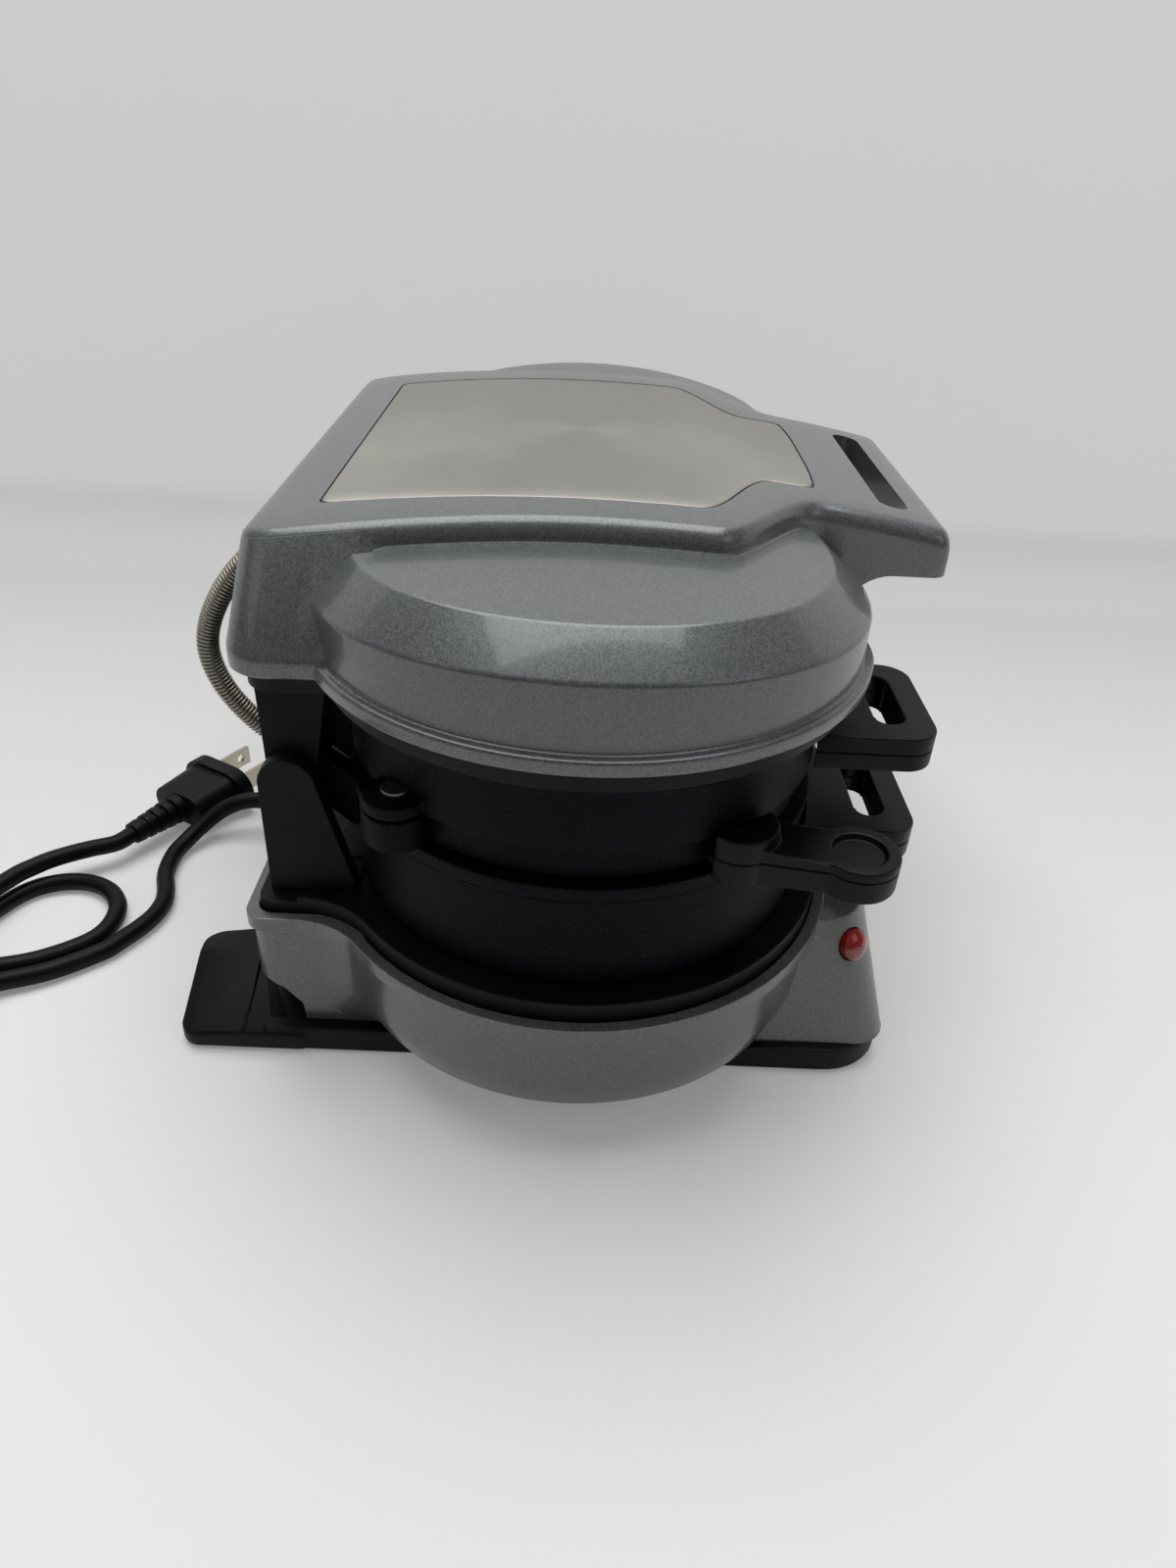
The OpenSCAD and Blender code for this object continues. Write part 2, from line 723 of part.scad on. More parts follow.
module base_deck() {
    color(black) placed() difference() {
        union() {
            translate([0, 0, deck_low]) linear_extrude(deck_depth) lobes_plan(deck_r);
            translate([0, 0, deck_low]) linear_extrude(deck_depth - 1.5)
                rear_plan(rear_half_w - 3, base_rear - 3, 4);
        }
        translate([0, 0, deck_low - 1]) linear_extrude(deck_depth + 1 - deck_t) {
            lobes_plan(deck_r - 2.4);
            rear_plan(rear_half_w - 6, base_rear - 6, 3);
        }
        both_sides() at_lobe() translate([0, 0, deck_low - 1])
            cylinder(r = heat_plate_r + join, h = deck_depth + 2, $fn = 128);
    }
}

module hinge_ear(side) {
    foot_z = deck_top - 1.5;
    color("#33353a") on_side(side) difference() {
        union() {
            translate([ear_x, 0, 0]) rotate([90, 0, 90]) linear_extrude(ear_t) hull() {
                translate([hinge_y, hinge_z]) circle(ear_r);
                translate([ear_front, foot_z]) square([ear_rear - ear_front, 1.5]);
            }
            translate([ear_x - ear_foot_w, ear_front, foot_z])
                cube([ear_foot_w + eps, ear_rear - ear_front, 1.8]);
        }
        translate([ear_x - 1, hinge_y, hinge_z]) rotate([0, 90, 0])
            cylinder(r = rod_r + running_gap, h = rod_depth + 1);
        for (y = [62, 69]) translate([ear_x - 4, y, foot_z - 1]) cylinder(r = 1.6, h = 4);
        at_lobe() translate([0, 0, foot_z - 1])
            cylinder(r = deck_r + join, h = 1 + deck_top + 0.1 - foot_z, $fn = 128);
    }
}

module hinge_rod() {
    color("#a5a8ab") placed() translate([-rod_half_length, hinge_y, hinge_z]) rotate([0, 90, 0])
        cylinder(r = rod_r, h = 2 * rod_half_length);
}

module cover_bracket(side) {
    depth = bracket_rear - bracket_front;
    color("#232427") on_side(side) difference() {
        union() {
            translate([bracket_x, 0, 0]) rotate([90, 0, 90]) linear_extrude(bracket_t) hull() {
                translate([hinge_y, hinge_z]) circle(ear_r - 1);
                translate([bracket_front, cover_deck_z - 1.5]) square([depth, 1.5]);
            }
            translate([bracket_x - ear_foot_w, bracket_front, cover_deck_z - 1.8])
                cube([ear_foot_w + eps, depth, 1.8]);
        }
        translate([bracket_x - 1, hinge_y, hinge_z]) rotate([0, 90, 0])
            cylinder(r = rod_r + running_gap, h = bracket_t + 2);
    }
}

// Two arms of a ring, from its wall at heights low to high down to the hinge rod
module ring_arms(offset_x, low, high) {
    for (x = [-offset_x - arm_w, offset_x]) translate([x, 0, 0]) rotate([90, 0, 90]) linear_extrude(arm_w)
        hull() {
            translate([hinge_y, hinge_z]) circle(knuckle_r);
            translate([ring_r - 2.2, low]) square([1, high - low]);
        }
}

module rod_bore() {
    translate([-100, hinge_y, hinge_z]) rotate([0, 90, 0]) cylinder(r = rod_r + running_gap, h = 200);
}

// A ring with a small step under its upper rim
module ring_wall_solid(h) {
    rotate_extrude($fn = 128) polygon([[ring_inner_r, 0], [ring_r - 0.6, 0], [ring_r - 0.6, h - 4],
        [ring_r, h - 3.4], [ring_r, h], [ring_inner_r, h]]);
}

// Bracket on the front of a ring that carries the handle
module handle_bracket(z, h) {
    difference() {
        translate([-9, -(ring_r + 5.5), z + h / 2 - 2]) cube([18, 8, 4]);
        translate([0, 0, z - 20]) cylinder(r = ring_r - 2, h = 50, $fn = 128);
    }
}

module lower_ring(side) {
    color(coated) on_side(side) at_lobe() difference() {
        union() {
            translate([0, 0, lower_ring_z]) ring_wall_solid(lower_ring_h);
            ring_arms(lower_arm_x, lower_ring_z + 10, lower_ring_top - 2);
            handle_bracket(lower_handle_z, ring_handle_h);
        }
        rod_bore();
        translate([0, 0, lower_ring_z - 1]) cylinder(r = ring_inner_r, h = lower_ring_h + 2, $fn = 128);
    }
}

module upper_ring(side) {
    color(coated) on_side(side) at_lobe() difference() {
        union() {
            translate([0, 0, upper_ring_z]) ring_wall_solid(upper_ring_h);
            ring_arms(upper_arm_x, upper_ring_z + 1, upper_ring_top - 3);
            handle_bracket(upper_handle_z, ring_handle_h);
            translate([lug_dx, lug_y, upper_ring_z]) cylinder(r = lug_r, h = lug_h);
        }
        rod_bore();
        translate([0, 0, upper_ring_z - 1]) cylinder(r = ring_inner_r, h = upper_ring_h + 2, $fn = 128);
        translate([lug_dx, lug_y, upper_ring_z - 1]) cylinder(r = pivot_r + running_gap, h = lug_h + 2);
        translate([lug_dx, lug_y, upper_ring_z + lug_h])
            cylinder(r = pivot_head_r + join, h = pivot_head_h + join);
    }
}

// A flat handle with a finger slot, open at the back for the ring's bracket
module ring_handle(z) {
    r = 7;
    rear_y = -(ring_r + join);
    length = ring_handle_reach + rear_y;
    difference() {
        translate([0, 0, z]) linear_extrude(ring_handle_h) difference() {
            union() {
                translate([-ring_handle_w / 2, -ring_handle_reach + r])
                    square([ring_handle_w, length - r + 6]);
                translate([-ring_handle_w / 2 + r, -ring_handle_reach])
                    square([ring_handle_w - 2 * r, length]);
                for (x = [-1, 1]) translate([x * (ring_handle_w / 2 - r), -ring_handle_reach + r]) circle(r);
            }
            circle(ring_r + join, $fn = 128);
            translate([-slot_front_w / 2 + 3, ring_handle_slot_y - slot_front_d / 2])
                square([slot_front_w - 6, slot_front_d]);
            for (x = [-1, 1]) translate([x * (slot_front_w / 2 - 3.5), ring_handle_slot_y]) circle(3.5);
        }
        translate([-9 - 0.2, -(ring_r + 5.5) - 0.2, z + ring_handle_h / 2 - 2.2]) cube([18.4, 12, 4.4]);
        for (x = [-5, 5]) translate([x, -(ring_r + 2.8), z - 1]) cylinder(r = 1.3, h = ring_handle_h / 2);
    }
}

module lower_handle(side) {
    color(black) on_side(side) at_lobe() ring_handle(lower_handle_z);
}

module upper_handle(side) {
    color(black) on_side(side) at_lobe() ring_handle(upper_handle_z);
}

module handle_screws(side, z) {
    color("#8d8f92") on_side(side) at_lobe() for (x = [-5, 5])
        translate([x, -(ring_r + 2.8), z]) cylinder(r = 1.2, h = ring_handle_h / 2 - 2.2);
}

module cooking_plate(side) {
    floor_t = 3;
    color(coated) on_side(side) at_lobe() difference() {
        union() {
            translate([0, 0, plate_z]) rotate_extrude($fn = 128)
                polygon([[0, 1.2], [plate_r - 4, 1.2], [plate_r - 3, 0], [plate_r, 0], [plate_r, plate_h],
                    [plate_r - 3, plate_h], [plate_r - 4, 1.2 + floor_t], [0, 1.2 + floor_t]]);
            translate([lug_dx, lug_y, plate_z]) cylinder(r = lug_r, h = plate_h);
            plate_tang();
        }
        translate([lug_dx, lug_y, plate_z - 1]) cylinder(r = pivot_r + running_gap, h = plate_h + 2);
        translate([lug_dx, lug_y, plate_z - 1])
            cylinder(r = pivot_head_r + join, h = 1 + pivot_head_h + 2 * join);
    }
}

// Moves to the root of the tongue handle, with -Y along it
module at_tongue() {
    translate([tongue_x, tongue_y, 0]) rotate([0, 0, tongue_turn]) children();
}

// Metal strip from the plate into its handle
module plate_tang() {
    difference() {
        at_tongue() translate([-tang_w / 2, -18, tang_z]) cube([tang_w, 24, tang_t]);
        translate([0, 0, tang_z - 1]) cylinder(r = plate_r - 1, h = 5, $fn = 128);
    }
}

module plate_handle(side) {
    root = tongue_root_w / 2;
    tip = tongue_tip_w / 2;
    color(black) on_side(side) at_lobe() difference() {
        at_tongue() union() {
            translate([0, 0, tongue_z]) cylinder(r = root, h = tongue_h + 3);
            translate([-root * 0.8, -tongue_length + tip, tongue_z])
                cube([root * 1.6, tongue_length - tip, tongue_h]);
            translate([0, -tongue_length + tip, tongue_z]) cylinder(r = tip, h = tongue_h);
        }
        translate([0, 0, tongue_z - 1]) cylinder(r = ring_r + 0.6, h = tongue_h + 6, $fn = 128);
        at_tongue() translate([-tang_w / 2 - 0.1, -18.1, tang_z - 0.1])
            cube([tang_w + 0.2, 24, tang_t + 0.2]);
        at_tongue() translate([0, -tongue_length + tip, tongue_z + tongue_h - 1.5])
            cylinder(r = tip - 3, h = 4);
    }
}

module plate_pivot(side) {
    low = plate_z + join;
    top = upper_ring_z + lug_h;
    color("#9c9a94") on_side(side) at_lobe() translate([lug_dx, lug_y, 0]) {
        translate([0, 0, low]) cylinder(r = pivot_r, h = top - low + 1);
        translate([0, 0, low]) cylinder(r = pivot_head_r, h = pivot_head_h);
        translate([0, 0, top]) cylinder(r = pivot_head_r, h = pivot_head_h);
    }
}

// Front timer: a bezel with a window and three keys
KEY_X = [-16, 0, 16];
key_w = 12;
key_h = 6;
key_y = -5.5;
window_w = 26;
window_h = 8;
window_y = 4.5;
bezel_depth = 2.6;
mat_t = 1;
board_t = 1.6;

module timer_bezel() {
    color(black) placed() on_front() difference() {
        union() {
            rounded_plate(bezel_w, bezel_h, bezel_h / 2 - 0.1, 1.6);
            translate([0, 0, -bezel_depth]) rounded_plate(bezel_w - 8.6, bezel_h - 6.6, 5.7, bezel_depth + 0.2);
        }
        for (x = KEY_X) translate([x, key_y, -5]) rounded_plate(key_w, key_h, 2, 10);
        translate([0, window_y, 0.8]) rounded_plate(window_w, window_h, 1, 4);
        translate([0, window_y, -5]) rounded_plate(window_w - 3, window_h - 3, 0.5, 10);
    }
}

module display_window() {
    color("#26303a") placed() on_front() translate([0, window_y, 0.8])
        rounded_plate(window_w - 0.3, window_h - 0.3, 0.9, 1);
}

module button(x) {
    back = -bezel_depth - join + button_travel + 0.2;
    color("#3a3c40") placed() on_front() translate([x, key_y, back])
        rounded_plate(key_w - 0.6, key_h - 0.6, 1.7, 2.8 - back);
}

module keypad_mat() {
    color("#4a4c50") placed() on_front() translate([0, 0, -bezel_depth - join - mat_t])
        rounded_plate(bezel_w - 10, bezel_h - 8, 5, mat_t);
}

module timer_board() {
    color("#2f6b42") placed() on_front()
        translate([0, 0, -bezel_depth - 2 * join - mat_t - board_t])
            rounded_plate(bezel_w - 10, bezel_h - 8, 2, board_t);
}

module lamp(side, tint) {
    color(tint) on_side(side) on_corner() translate([0, 0, -2.6]) {
        cylinder(r = lamp_r, h = 3.6);
        translate([0, 0, 3.6]) intersection() {
            translate([0, 0, -lamp_r * 1.2]) sphere(r = lamp_r * 1.56);
            cylinder(r = lamp_r, h = 3);
        }
        translate([0, 0, -4]) cylinder(r = lamp_r - 1, h = 4);
    }
}

// Conduit: an upright bow behind the base, from the low gland to the high one, as two smooth curves
function curve_point(a, b, c, d, t) =
    pow(1 - t, 3) * a + 3 * pow(1 - t, 2) * t * b + 3 * (1 - t) * pow(t, 2) * c + pow(t, 3) * d;

CONDUIT_START = [0, base_wall_rear, conduit_low_z];
CONDUIT_MID = [0, conduit_reach, conduit_mid_z];
CONDUIT_END = [0, cover_rear, conduit_high_z];
CONDUIT = concat(
    [for (i = [0 : 20]) curve_point(CONDUIT_START, CONDUIT_START + [0, 15, 0],
        CONDUIT_MID - [0, 0, 17], CONDUIT_MID, i / 20)],
    [for (i = [1 : 20]) curve_point(CONDUIT_MID, CONDUIT_MID + [0, 0, 15],
        CONDUIT_END + [0, 16, 0], CONDUIT_END, i / 20)]);

function run_to(i) = i == 0 ? 0 : run_to(i - 1) + norm(CONDUIT[i] - CONDUIT[i - 1]);

CONDUIT_RUN = [for (i = [0 : len(CONDUIT) - 1]) run_to(i)];
CONDUIT_Y = [for (i = [0 : len(CONDUIT) - 1]) [CONDUIT_RUN[i], CONDUIT[i].y]];
CONDUIT_Z = [for (i = [0 : len(CONDUIT) - 1]) [CONDUIT_RUN[i], CONDUIT[i].z]];
conduit_length = CONDUIT_RUN[len(CONDUIT) - 1];

// Point of the conduit at s of its length, from 0 to 1
function conduit_point(s) = [0, lookup(s * conduit_length, CONDUIT_Y), lookup(s * conduit_length, CONDUIT_Z)];

function conduit_along(s) = unit(conduit_point(min(s + 0.02, 1)) - conduit_point(max(s - 0.02, 0)));

curl_steps = 8 * jacket_curls;
CURLS = [for (i = [0 : curl_steps]) let (s = 0.005 + 0.99 * i / curl_steps, a = 45 * i,
    n = cross(conduit_along(s), [1, 0, 0]), out = cos(a) * n + sin(a) * [1, 0, 0])
    conduit_point(s) + jacket_r * out];
CURL_OUT = [for (i = [0 : curl_steps]) let (s = 0.005 + 0.99 * i / curl_steps, a = 45 * i,
    n = cross(conduit_along(s), [1, 0, 0])) cos(a) * n + sin(a) * [1, 0, 0]];

module conduit_jacket() {
    echo(least_gap_of_the_jacket = least_gap(CURLS, 6) - jacket_wire_d);
    color(bright) placed() tube(CURLS, CURL_OUT, jacket_wire_d / 2, 6);
}

module conduit_core() {
    points = [for (i = [0 : 32]) conduit_point(i / 32)];
    color("#2a2a2a") placed() tube(points, [for (p = points) [1, 0, 0]], core_r, 10);
}

// A bushing in a wall at y, with a collar outside
module conduit_gland(z, y) {
    translate([0, y, z]) rotate([90, 0, 0]) difference() {
        union() {
            translate([0, 0, -0.2]) cylinder(r = gland_r, h = 6.5);
            translate([0, 0, -1.5]) cylinder(r = gland_r + 1.3, h = 1.4);
        }
        translate([0, 0, -2]) cylinder(r = jacket_d / 2 + join, h = 9);
    }
}

module conduit_gland_low() {
    color(black) placed() conduit_gland(conduit_low_z, base_wall_rear);
}

module conduit_gland_high() {
    color(black) placed() conduit_gland(conduit_high_z, cover_rear);
}

module cord_gland() {
    floor_drop = lead_z - housing_floor - wall - join;
    color(black) placed() translate([0, base_wall_rear, lead_z]) rotate([-90, 0, 0]) difference() {
        union() {
            translate([0, 0, -3]) cylinder(r = lead_r + 1.4, h = 3.2);
            cylinder(r = lead_r + 4, h = 1.6);
            translate([0, 0, 1.6]) cylinder(r1 = lead_r + 2.6, r2 = lead_r + 1, h = gland_length - 1.6);
            translate([0, 0, -4.5]) cylinder(r = lead_r + 2.6, h = 1.7);
        }
        translate([-10, floor_drop, -5]) cube([20, 10, 2.6]);
        for (k = [0 : 4]) translate([0, 0, 4 + 4 * k]) difference() {
            cylinder(r = lead_r + 4, h = 1.6);
            translate([0, 0, -1]) cylinder(r = lead_r + 0.7, h = 4);
        }
    }
}

module mains_lead() {
    start = [0, lead_exit, lead_z];
    points = concat([start], LEAD, [HANK[0] - 6 * hank_u, HANK[0]]);
    color(black) placed() tube(points, all_up(points), lead_r, 10);
}

// Hank: one strand that spirals in on the table, climbs along a run and spirals out on top
hank_turn = 144;
hank_centre = [-83, 171, 0];
hank_u = [cos(hank_turn), sin(hank_turn), 0];
hank_v = [sin(hank_turn), -cos(hank_turn), 0];
hank_layer = lead_d + 0.6;
hank_waist = 13;
hank_low = lead_r + 0.1;
tie_t = 1;

// Half width of the loop at n turns, and how far it has climbed
function hank_w(n) = hank_fold_r + hank_step * (n < 1 ? 1 - n : n < 1.25 ? 0 : n - 1.25);
function hank_climb(n) = n < 1 ? 0 : n > 1.25 ? 1 : 0.5 - 0.5 * cos(720 * (n - 1));

// One loop: a run, a fold, a run back and a fold; f goes from 0 to 1 round it
function hank_flat(f, w) =
    f < 0.25 ? [-hank_run + 8 * hank_run * f, -(w - hank_waist * waist_draw(-hank_run + 8 * hank_run * f))]
    : f < 0.5 ? [hank_run + w * sin(720 * (f - 0.25)), -w * cos(720 * (f - 0.25))]
    : f < 0.75 ? [hank_run - 8 * hank_run * (f - 0.5),
        w - hank_waist * waist_draw(hank_run - 8 * hank_run * (f - 0.5))]
    : [-hank_run - w * sin(720 * (f - 0.75)), w * cos(720 * (f - 0.75))];

function waist_draw(u) = pow(cos(90 * u / hank_run), 2);

function hank_point(n) =
    let (p = hank_flat(n - floor(n), hank_w(n)))
    hank_centre + p.x * hank_u + p.y * hank_v
        + [0, 0, hank_low + hank_layer * hank_climb(n) + (tie_t + 0.3) * waist_draw(min(abs(p.x), hank_run))];

hank_steps = 42;
HANK = [for (i = [0 : hank_steps]) hank_point(i / 24)];

module cord_hank() {
    echo(least_gap_of_the_hank = least_gap(HANK, 8) - lead_d);
    last = HANK[hank_steps];
    points = concat([HANK[0], HANK[0] + lead_d * hank_u], [for (i = [1 : hank_steps - 1]) HANK[i]],
        [last + lead_d * hank_u, last]);
    color("#1f2022") placed() tube(points, all_up(points), lead_r, 6);
}

// Plug: it lies on the table beside the hank, its blades side by side
plug_turn = -30;
plug_flange_r = 7.4;
plug_z = plug_flange_r + 0.2;
plug_tail_start = [-15, 138, plug_z];
TAIL = [[-31.2, 156.3, 8.5], [-27.4, 151.7, 8.3], [-24, 146.9, 8]];
plug_dir = [cos(plug_turn), sin(plug_turn), 0];

module plug_tail() {
    start = HANK[hank_steps];
    points = concat([start, start - lead_d * hank_u], TAIL,
        [plug_tail_start - 6 * plug_dir, plug_tail_start]);
    color(black) placed() tube(points, all_up(points), lead_r, 10);
}

module at_plug() {
    translate(plug_tail_start) rotate([0, 0, plug_turn]) rotate([0, 90, 0]) children();
}

module plug_body() {
    boot = 19;
    grip = 19;
    color(black) placed() at_plug() difference() {
        union() {
            cylinder(r1 = lead_r + 0.8, r2 = lead_r + 2.4, h = boot);
            translate([0, 0, boot - 1]) hull() {
                for (y = [-5, 5]) translate([0, y, 0]) cylinder(r = plug_flange_r - 2, h = 1, $fn = 32);
                for (y = [-5.5, 5.5]) translate([0, y, grip - 4])
                    cylinder(r = plug_flange_r - 1.2, h = 1, $fn = 32);
            }
            translate([0, 0, boot + grip - 5]) hull()
                for (y = [-6, 6]) translate([0, y, 0]) cylinder(r = plug_flange_r, h = 5, $fn = 32);
        }
        for (k = [0 : 3]) translate([0, 0, 3 + 3.6 * k]) difference() {
            cylinder(r = lead_r + 4, h = 1.4);
            translate([0, 0, -1]) cylinder(r = lead_r + 0.5, h = 4);
        }
        for (y = [-6.35, 6.35]) translate([-3.2, y - 0.8, boot + grip - 8]) cube([6.4, 1.6, 10]);
    }
}

module plug_blades() {
    blade_start = 19 + 19 - 7.9;
    color("#b8b4a6") placed() at_plug() for (y = [-6.35, 6.35]) translate([-3.15, y - 0.75, blade_start])
        difference() {
            cube([6.3, 1.5, 7.9 + 16.5]);
            translate([3.15, -1, 7.9 + 12.5]) rotate([-90, 0, 0]) cylinder(r = 1.5, h = 4);
        }
}

module cord_tie() {
    waist = [for (i = [3, 15, 27, 39]) HANK[i]];
    across = [for (p = waist) (hank_centre - p) * hank_v];
    low = min(across) - lead_r - join;
    high = max(across) + lead_r + join;
    top = max([for (p = waist) p.z]) + lead_r + join;
    bottom = tie_t + 0.1;
    color("#2c2d30") placed() translate(hank_centre) rotate([0, 0, hank_turn]) rotate([90, 0, 90])
        translate([0, 0, -2]) linear_extrude(4) difference() {
            translate([low - tie_t, bottom - tie_t])
                square([high - low + 2 * tie_t, top - bottom + 2 * tie_t]);
            translate([low, bottom]) square([high - low, top - bottom]);
        }
}

base_housing();
base_skirt();
rubber_feet();
skirt_screws();
base_deck();
bottom_plate(-1);  // bottom_plate_left
bottom_plate(1);  // bottom_plate_right
lower_heaters();
thermostats();
hinge_ear(-1);  // hinge_ear_left
hinge_ear(1);  // hinge_ear_right
hinge_rod();
timer_bezel();
display_window();
keypad_mat();
timer_board();
lamp(-1, "#c2352d");  // power_lamp
lamp(1, "#2f8f4a");  // ready_lamp
conduit_gland_low();
conduit_gland_high();
conduit_core();
conduit_jacket();
cord_gland();
mains_lead();
cord_hank();
plug_tail();
cord_tie();
plug_body();
plug_blades();
button(KEY_X[0]);  // button_minus
button(KEY_X[1]);  // button_plus
button(KEY_X[2]);  // button_start
lower_ring(-1);  // lower_ring_left
lower_ring(1);  // lower_ring_right
lower_handle(-1);  // lower_handle_left
lower_handle(1);  // lower_handle_right
upper_ring(-1);  // upper_ring_left
upper_ring(1);  // upper_ring_right
upper_handle(-1);  // upper_handle_left
upper_handle(1);  // upper_handle_right
cooking_plate(-1);  // cooking_plate_left
cooking_plate(1);  // cooking_plate_right
plate_handle(-1);  // plate_handle_left
plate_handle(1);  // plate_handle_right
plate_pivot(-1);  // plate_pivot_left
plate_pivot(1);  // plate_pivot_right
cover_housing();
cover_panel();
cover_deck();
top_plate(-1);  // top_plate_left
top_plate(1);  // top_plate_right
upper_heaters();
cover_bracket(-1);  // cover_bracket_left
cover_bracket(1);  // cover_bracket_right
thermal_fuse();
cover_screws();
handle_screws(-1, lower_handle_z);  // lower_handle_screws_left
handle_screws(1, lower_handle_z);  // lower_handle_screws_right
handle_screws(-1, upper_handle_z);  // upper_handle_screws_left
handle_screws(1, upper_handle_z);  // upper_handle_screws_right
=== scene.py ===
import json
import math

import bmesh
import bpy
from mathutils import Matrix, Vector

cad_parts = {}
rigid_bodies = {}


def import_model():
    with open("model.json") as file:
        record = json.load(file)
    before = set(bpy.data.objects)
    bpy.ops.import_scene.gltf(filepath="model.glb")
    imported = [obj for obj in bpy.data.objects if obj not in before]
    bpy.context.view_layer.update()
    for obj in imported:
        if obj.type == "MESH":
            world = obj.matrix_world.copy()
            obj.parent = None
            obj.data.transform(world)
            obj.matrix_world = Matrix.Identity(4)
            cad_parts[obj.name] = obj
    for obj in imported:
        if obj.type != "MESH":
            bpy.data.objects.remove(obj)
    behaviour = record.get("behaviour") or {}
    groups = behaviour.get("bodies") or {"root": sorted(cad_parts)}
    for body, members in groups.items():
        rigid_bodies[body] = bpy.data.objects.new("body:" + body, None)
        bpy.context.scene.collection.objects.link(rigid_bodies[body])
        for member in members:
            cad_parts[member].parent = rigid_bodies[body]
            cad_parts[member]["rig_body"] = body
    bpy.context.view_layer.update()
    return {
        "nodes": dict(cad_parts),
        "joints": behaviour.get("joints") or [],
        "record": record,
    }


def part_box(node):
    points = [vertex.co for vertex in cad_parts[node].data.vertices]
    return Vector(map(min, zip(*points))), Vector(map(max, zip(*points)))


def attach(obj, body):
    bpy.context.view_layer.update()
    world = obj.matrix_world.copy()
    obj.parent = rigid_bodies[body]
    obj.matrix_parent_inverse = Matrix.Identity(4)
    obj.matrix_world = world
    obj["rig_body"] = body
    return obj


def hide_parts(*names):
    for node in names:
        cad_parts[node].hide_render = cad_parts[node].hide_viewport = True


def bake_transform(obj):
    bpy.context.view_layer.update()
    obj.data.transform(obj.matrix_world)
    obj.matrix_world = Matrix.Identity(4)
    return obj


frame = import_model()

bl_info = {
    "name": "Breakfast sandwich maker",
    "version": (1, 0, 0),
    "blender": (4, 5, 0),
    "location": "View3D > Sidebar > Sandwich maker",
    "description": "Dresses the packed model of a two-lobed breakfast sandwich maker",
    "category": "Add Mesh",
}

MM = 0.001
SIDES = (("left", -1), ("right", 1))

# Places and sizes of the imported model, in millimetres from the middle of the lobes
HINGE_REACH = 66.0
HINGE = Vector(frame["joints"][0]["pos_m"]) / MM
LOBE_X = 60.0
LOBE_Y = HINGE.y - HINGE_REACH
FLANGE_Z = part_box("cover_housing")[0].z / MM
CROWN_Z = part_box("cover_housing")[1].z / MM
RIM_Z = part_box("base_housing")[1].z / MM
HOUSING_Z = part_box("base_housing")[0].z / MM
COVER_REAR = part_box("cover_housing")[1].y / MM - LOBE_Y
HANDLE_REACH = LOBE_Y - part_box("cover_housing")[0].y / MM
RIM_R = 63.6          # lips of the cover's lobes and rims of the base
LIP_T = 3.4           # lip round the foot of the cover
REAR_HALF = 92.0      # half width of the rear block at the lip
BODY_HALF = 72.6      # half width of the raised middle of the cover
NECK_HALF = 43.5      # half width of its handle
BOW = 3.0             # how far its flanks spread to the rear
CROWN_R = 424.0       # radius of its crown, from front to rear
CROWN_MID = 1.8       # the crown's highest place
DISC_DROP = 5.2       # step from the middle down to the discs of the lobes
CORNER_R = 9.0        # upright rear corners
HANDLE_T = 10.6       # thickness of the handle


def place(points):
    """Turns points in millimetres from the middle of the lobes into points of the part, in metres."""
    return [Vector((x * MM, (y + LOBE_Y) * MM, z * MM)) for x, y, z in points]


def unit_arc(first, last, step):
    """Cosine and sine of each angle from first to last, in degrees."""
    return [(math.cos(math.radians(a)), math.sin(math.radians(a))) for a in range(first, last + 1, step)]


# ------------- materials


def linear(code, alpha=1.0):
    """The linear colour of an sRGB hex value."""
    parts = [int(code[i:i + 2], 16) / 255 for i in (1, 3, 5)]
    return [c / 12.92 if c <= 0.04045 else ((c + 0.055) / 1.055) ** 2.4 for c in parts] + [alpha]


def add(tree, kind, settings=None, out=0, **inputs):
    """Adds a node with its settings and links, and gives one of its outputs, or all of them for None.

    An input goes by its name, with _ for a blank, or as i and its number.
    """
    made = tree.nodes.new(kind)
    for key, value in (settings or {}).items():
        setattr(made, key, value)
    for key, value in inputs.items():
        socket = made.inputs[int(key[1:])] if key[1:].isdigit() else made.inputs[key.replace("_", " ")]
        if isinstance(value, bpy.types.NodeSocket):
            tree.links.new(value, socket)
        else:
            socket.default_value = value
    return made.outputs if out is None else made.outputs[out]


def length_property(name, description, default, low, high):
    """A size in metres, shown in the scene's unit of length."""
    return bpy.props.FloatProperty(name=name, description=description, default=default, min=low,
                                   max=high, precision=5, step=0.01, unit="LENGTH", subtype="DISTANCE")


RGBA = {"data_type": "RGBA"}
MULTIPLY = {"operation": "MULTIPLY"}
MULTIPLY_ADD = {"operation": "MULTIPLY_ADD"}
MAXIMUM = {"operation": "MAXIMUM"}


def scale_of(size_mm):
    """The texture scale that draws features of a size in millimetres."""
    return 1000 / size_mm


def blank(name):
    """A new material without nodes, its tree and the place on the object, in metres."""
    material = bpy.data.materials.new(name)
    material.use_nodes = True
    tree = material.node_tree
    tree.nodes.clear()
    return material, tree, add(tree, "ShaderNodeTexCoord", out="Object")


def surfaced(material, tree, height, depth_mm, strength, **sockets):
    """Ends a material in a Principled shader whose bump is a height times depth_mm."""
    normal = add(tree, "ShaderNodeBump", Height=height, Strength=strength, Distance=depth_mm * MM)
    shader = add(tree, "ShaderNodeBsdfPrincipled", Normal=normal, **sockets)
    add(tree, "ShaderNodeOutputMaterial", out=None, Surface=shader)
    return material


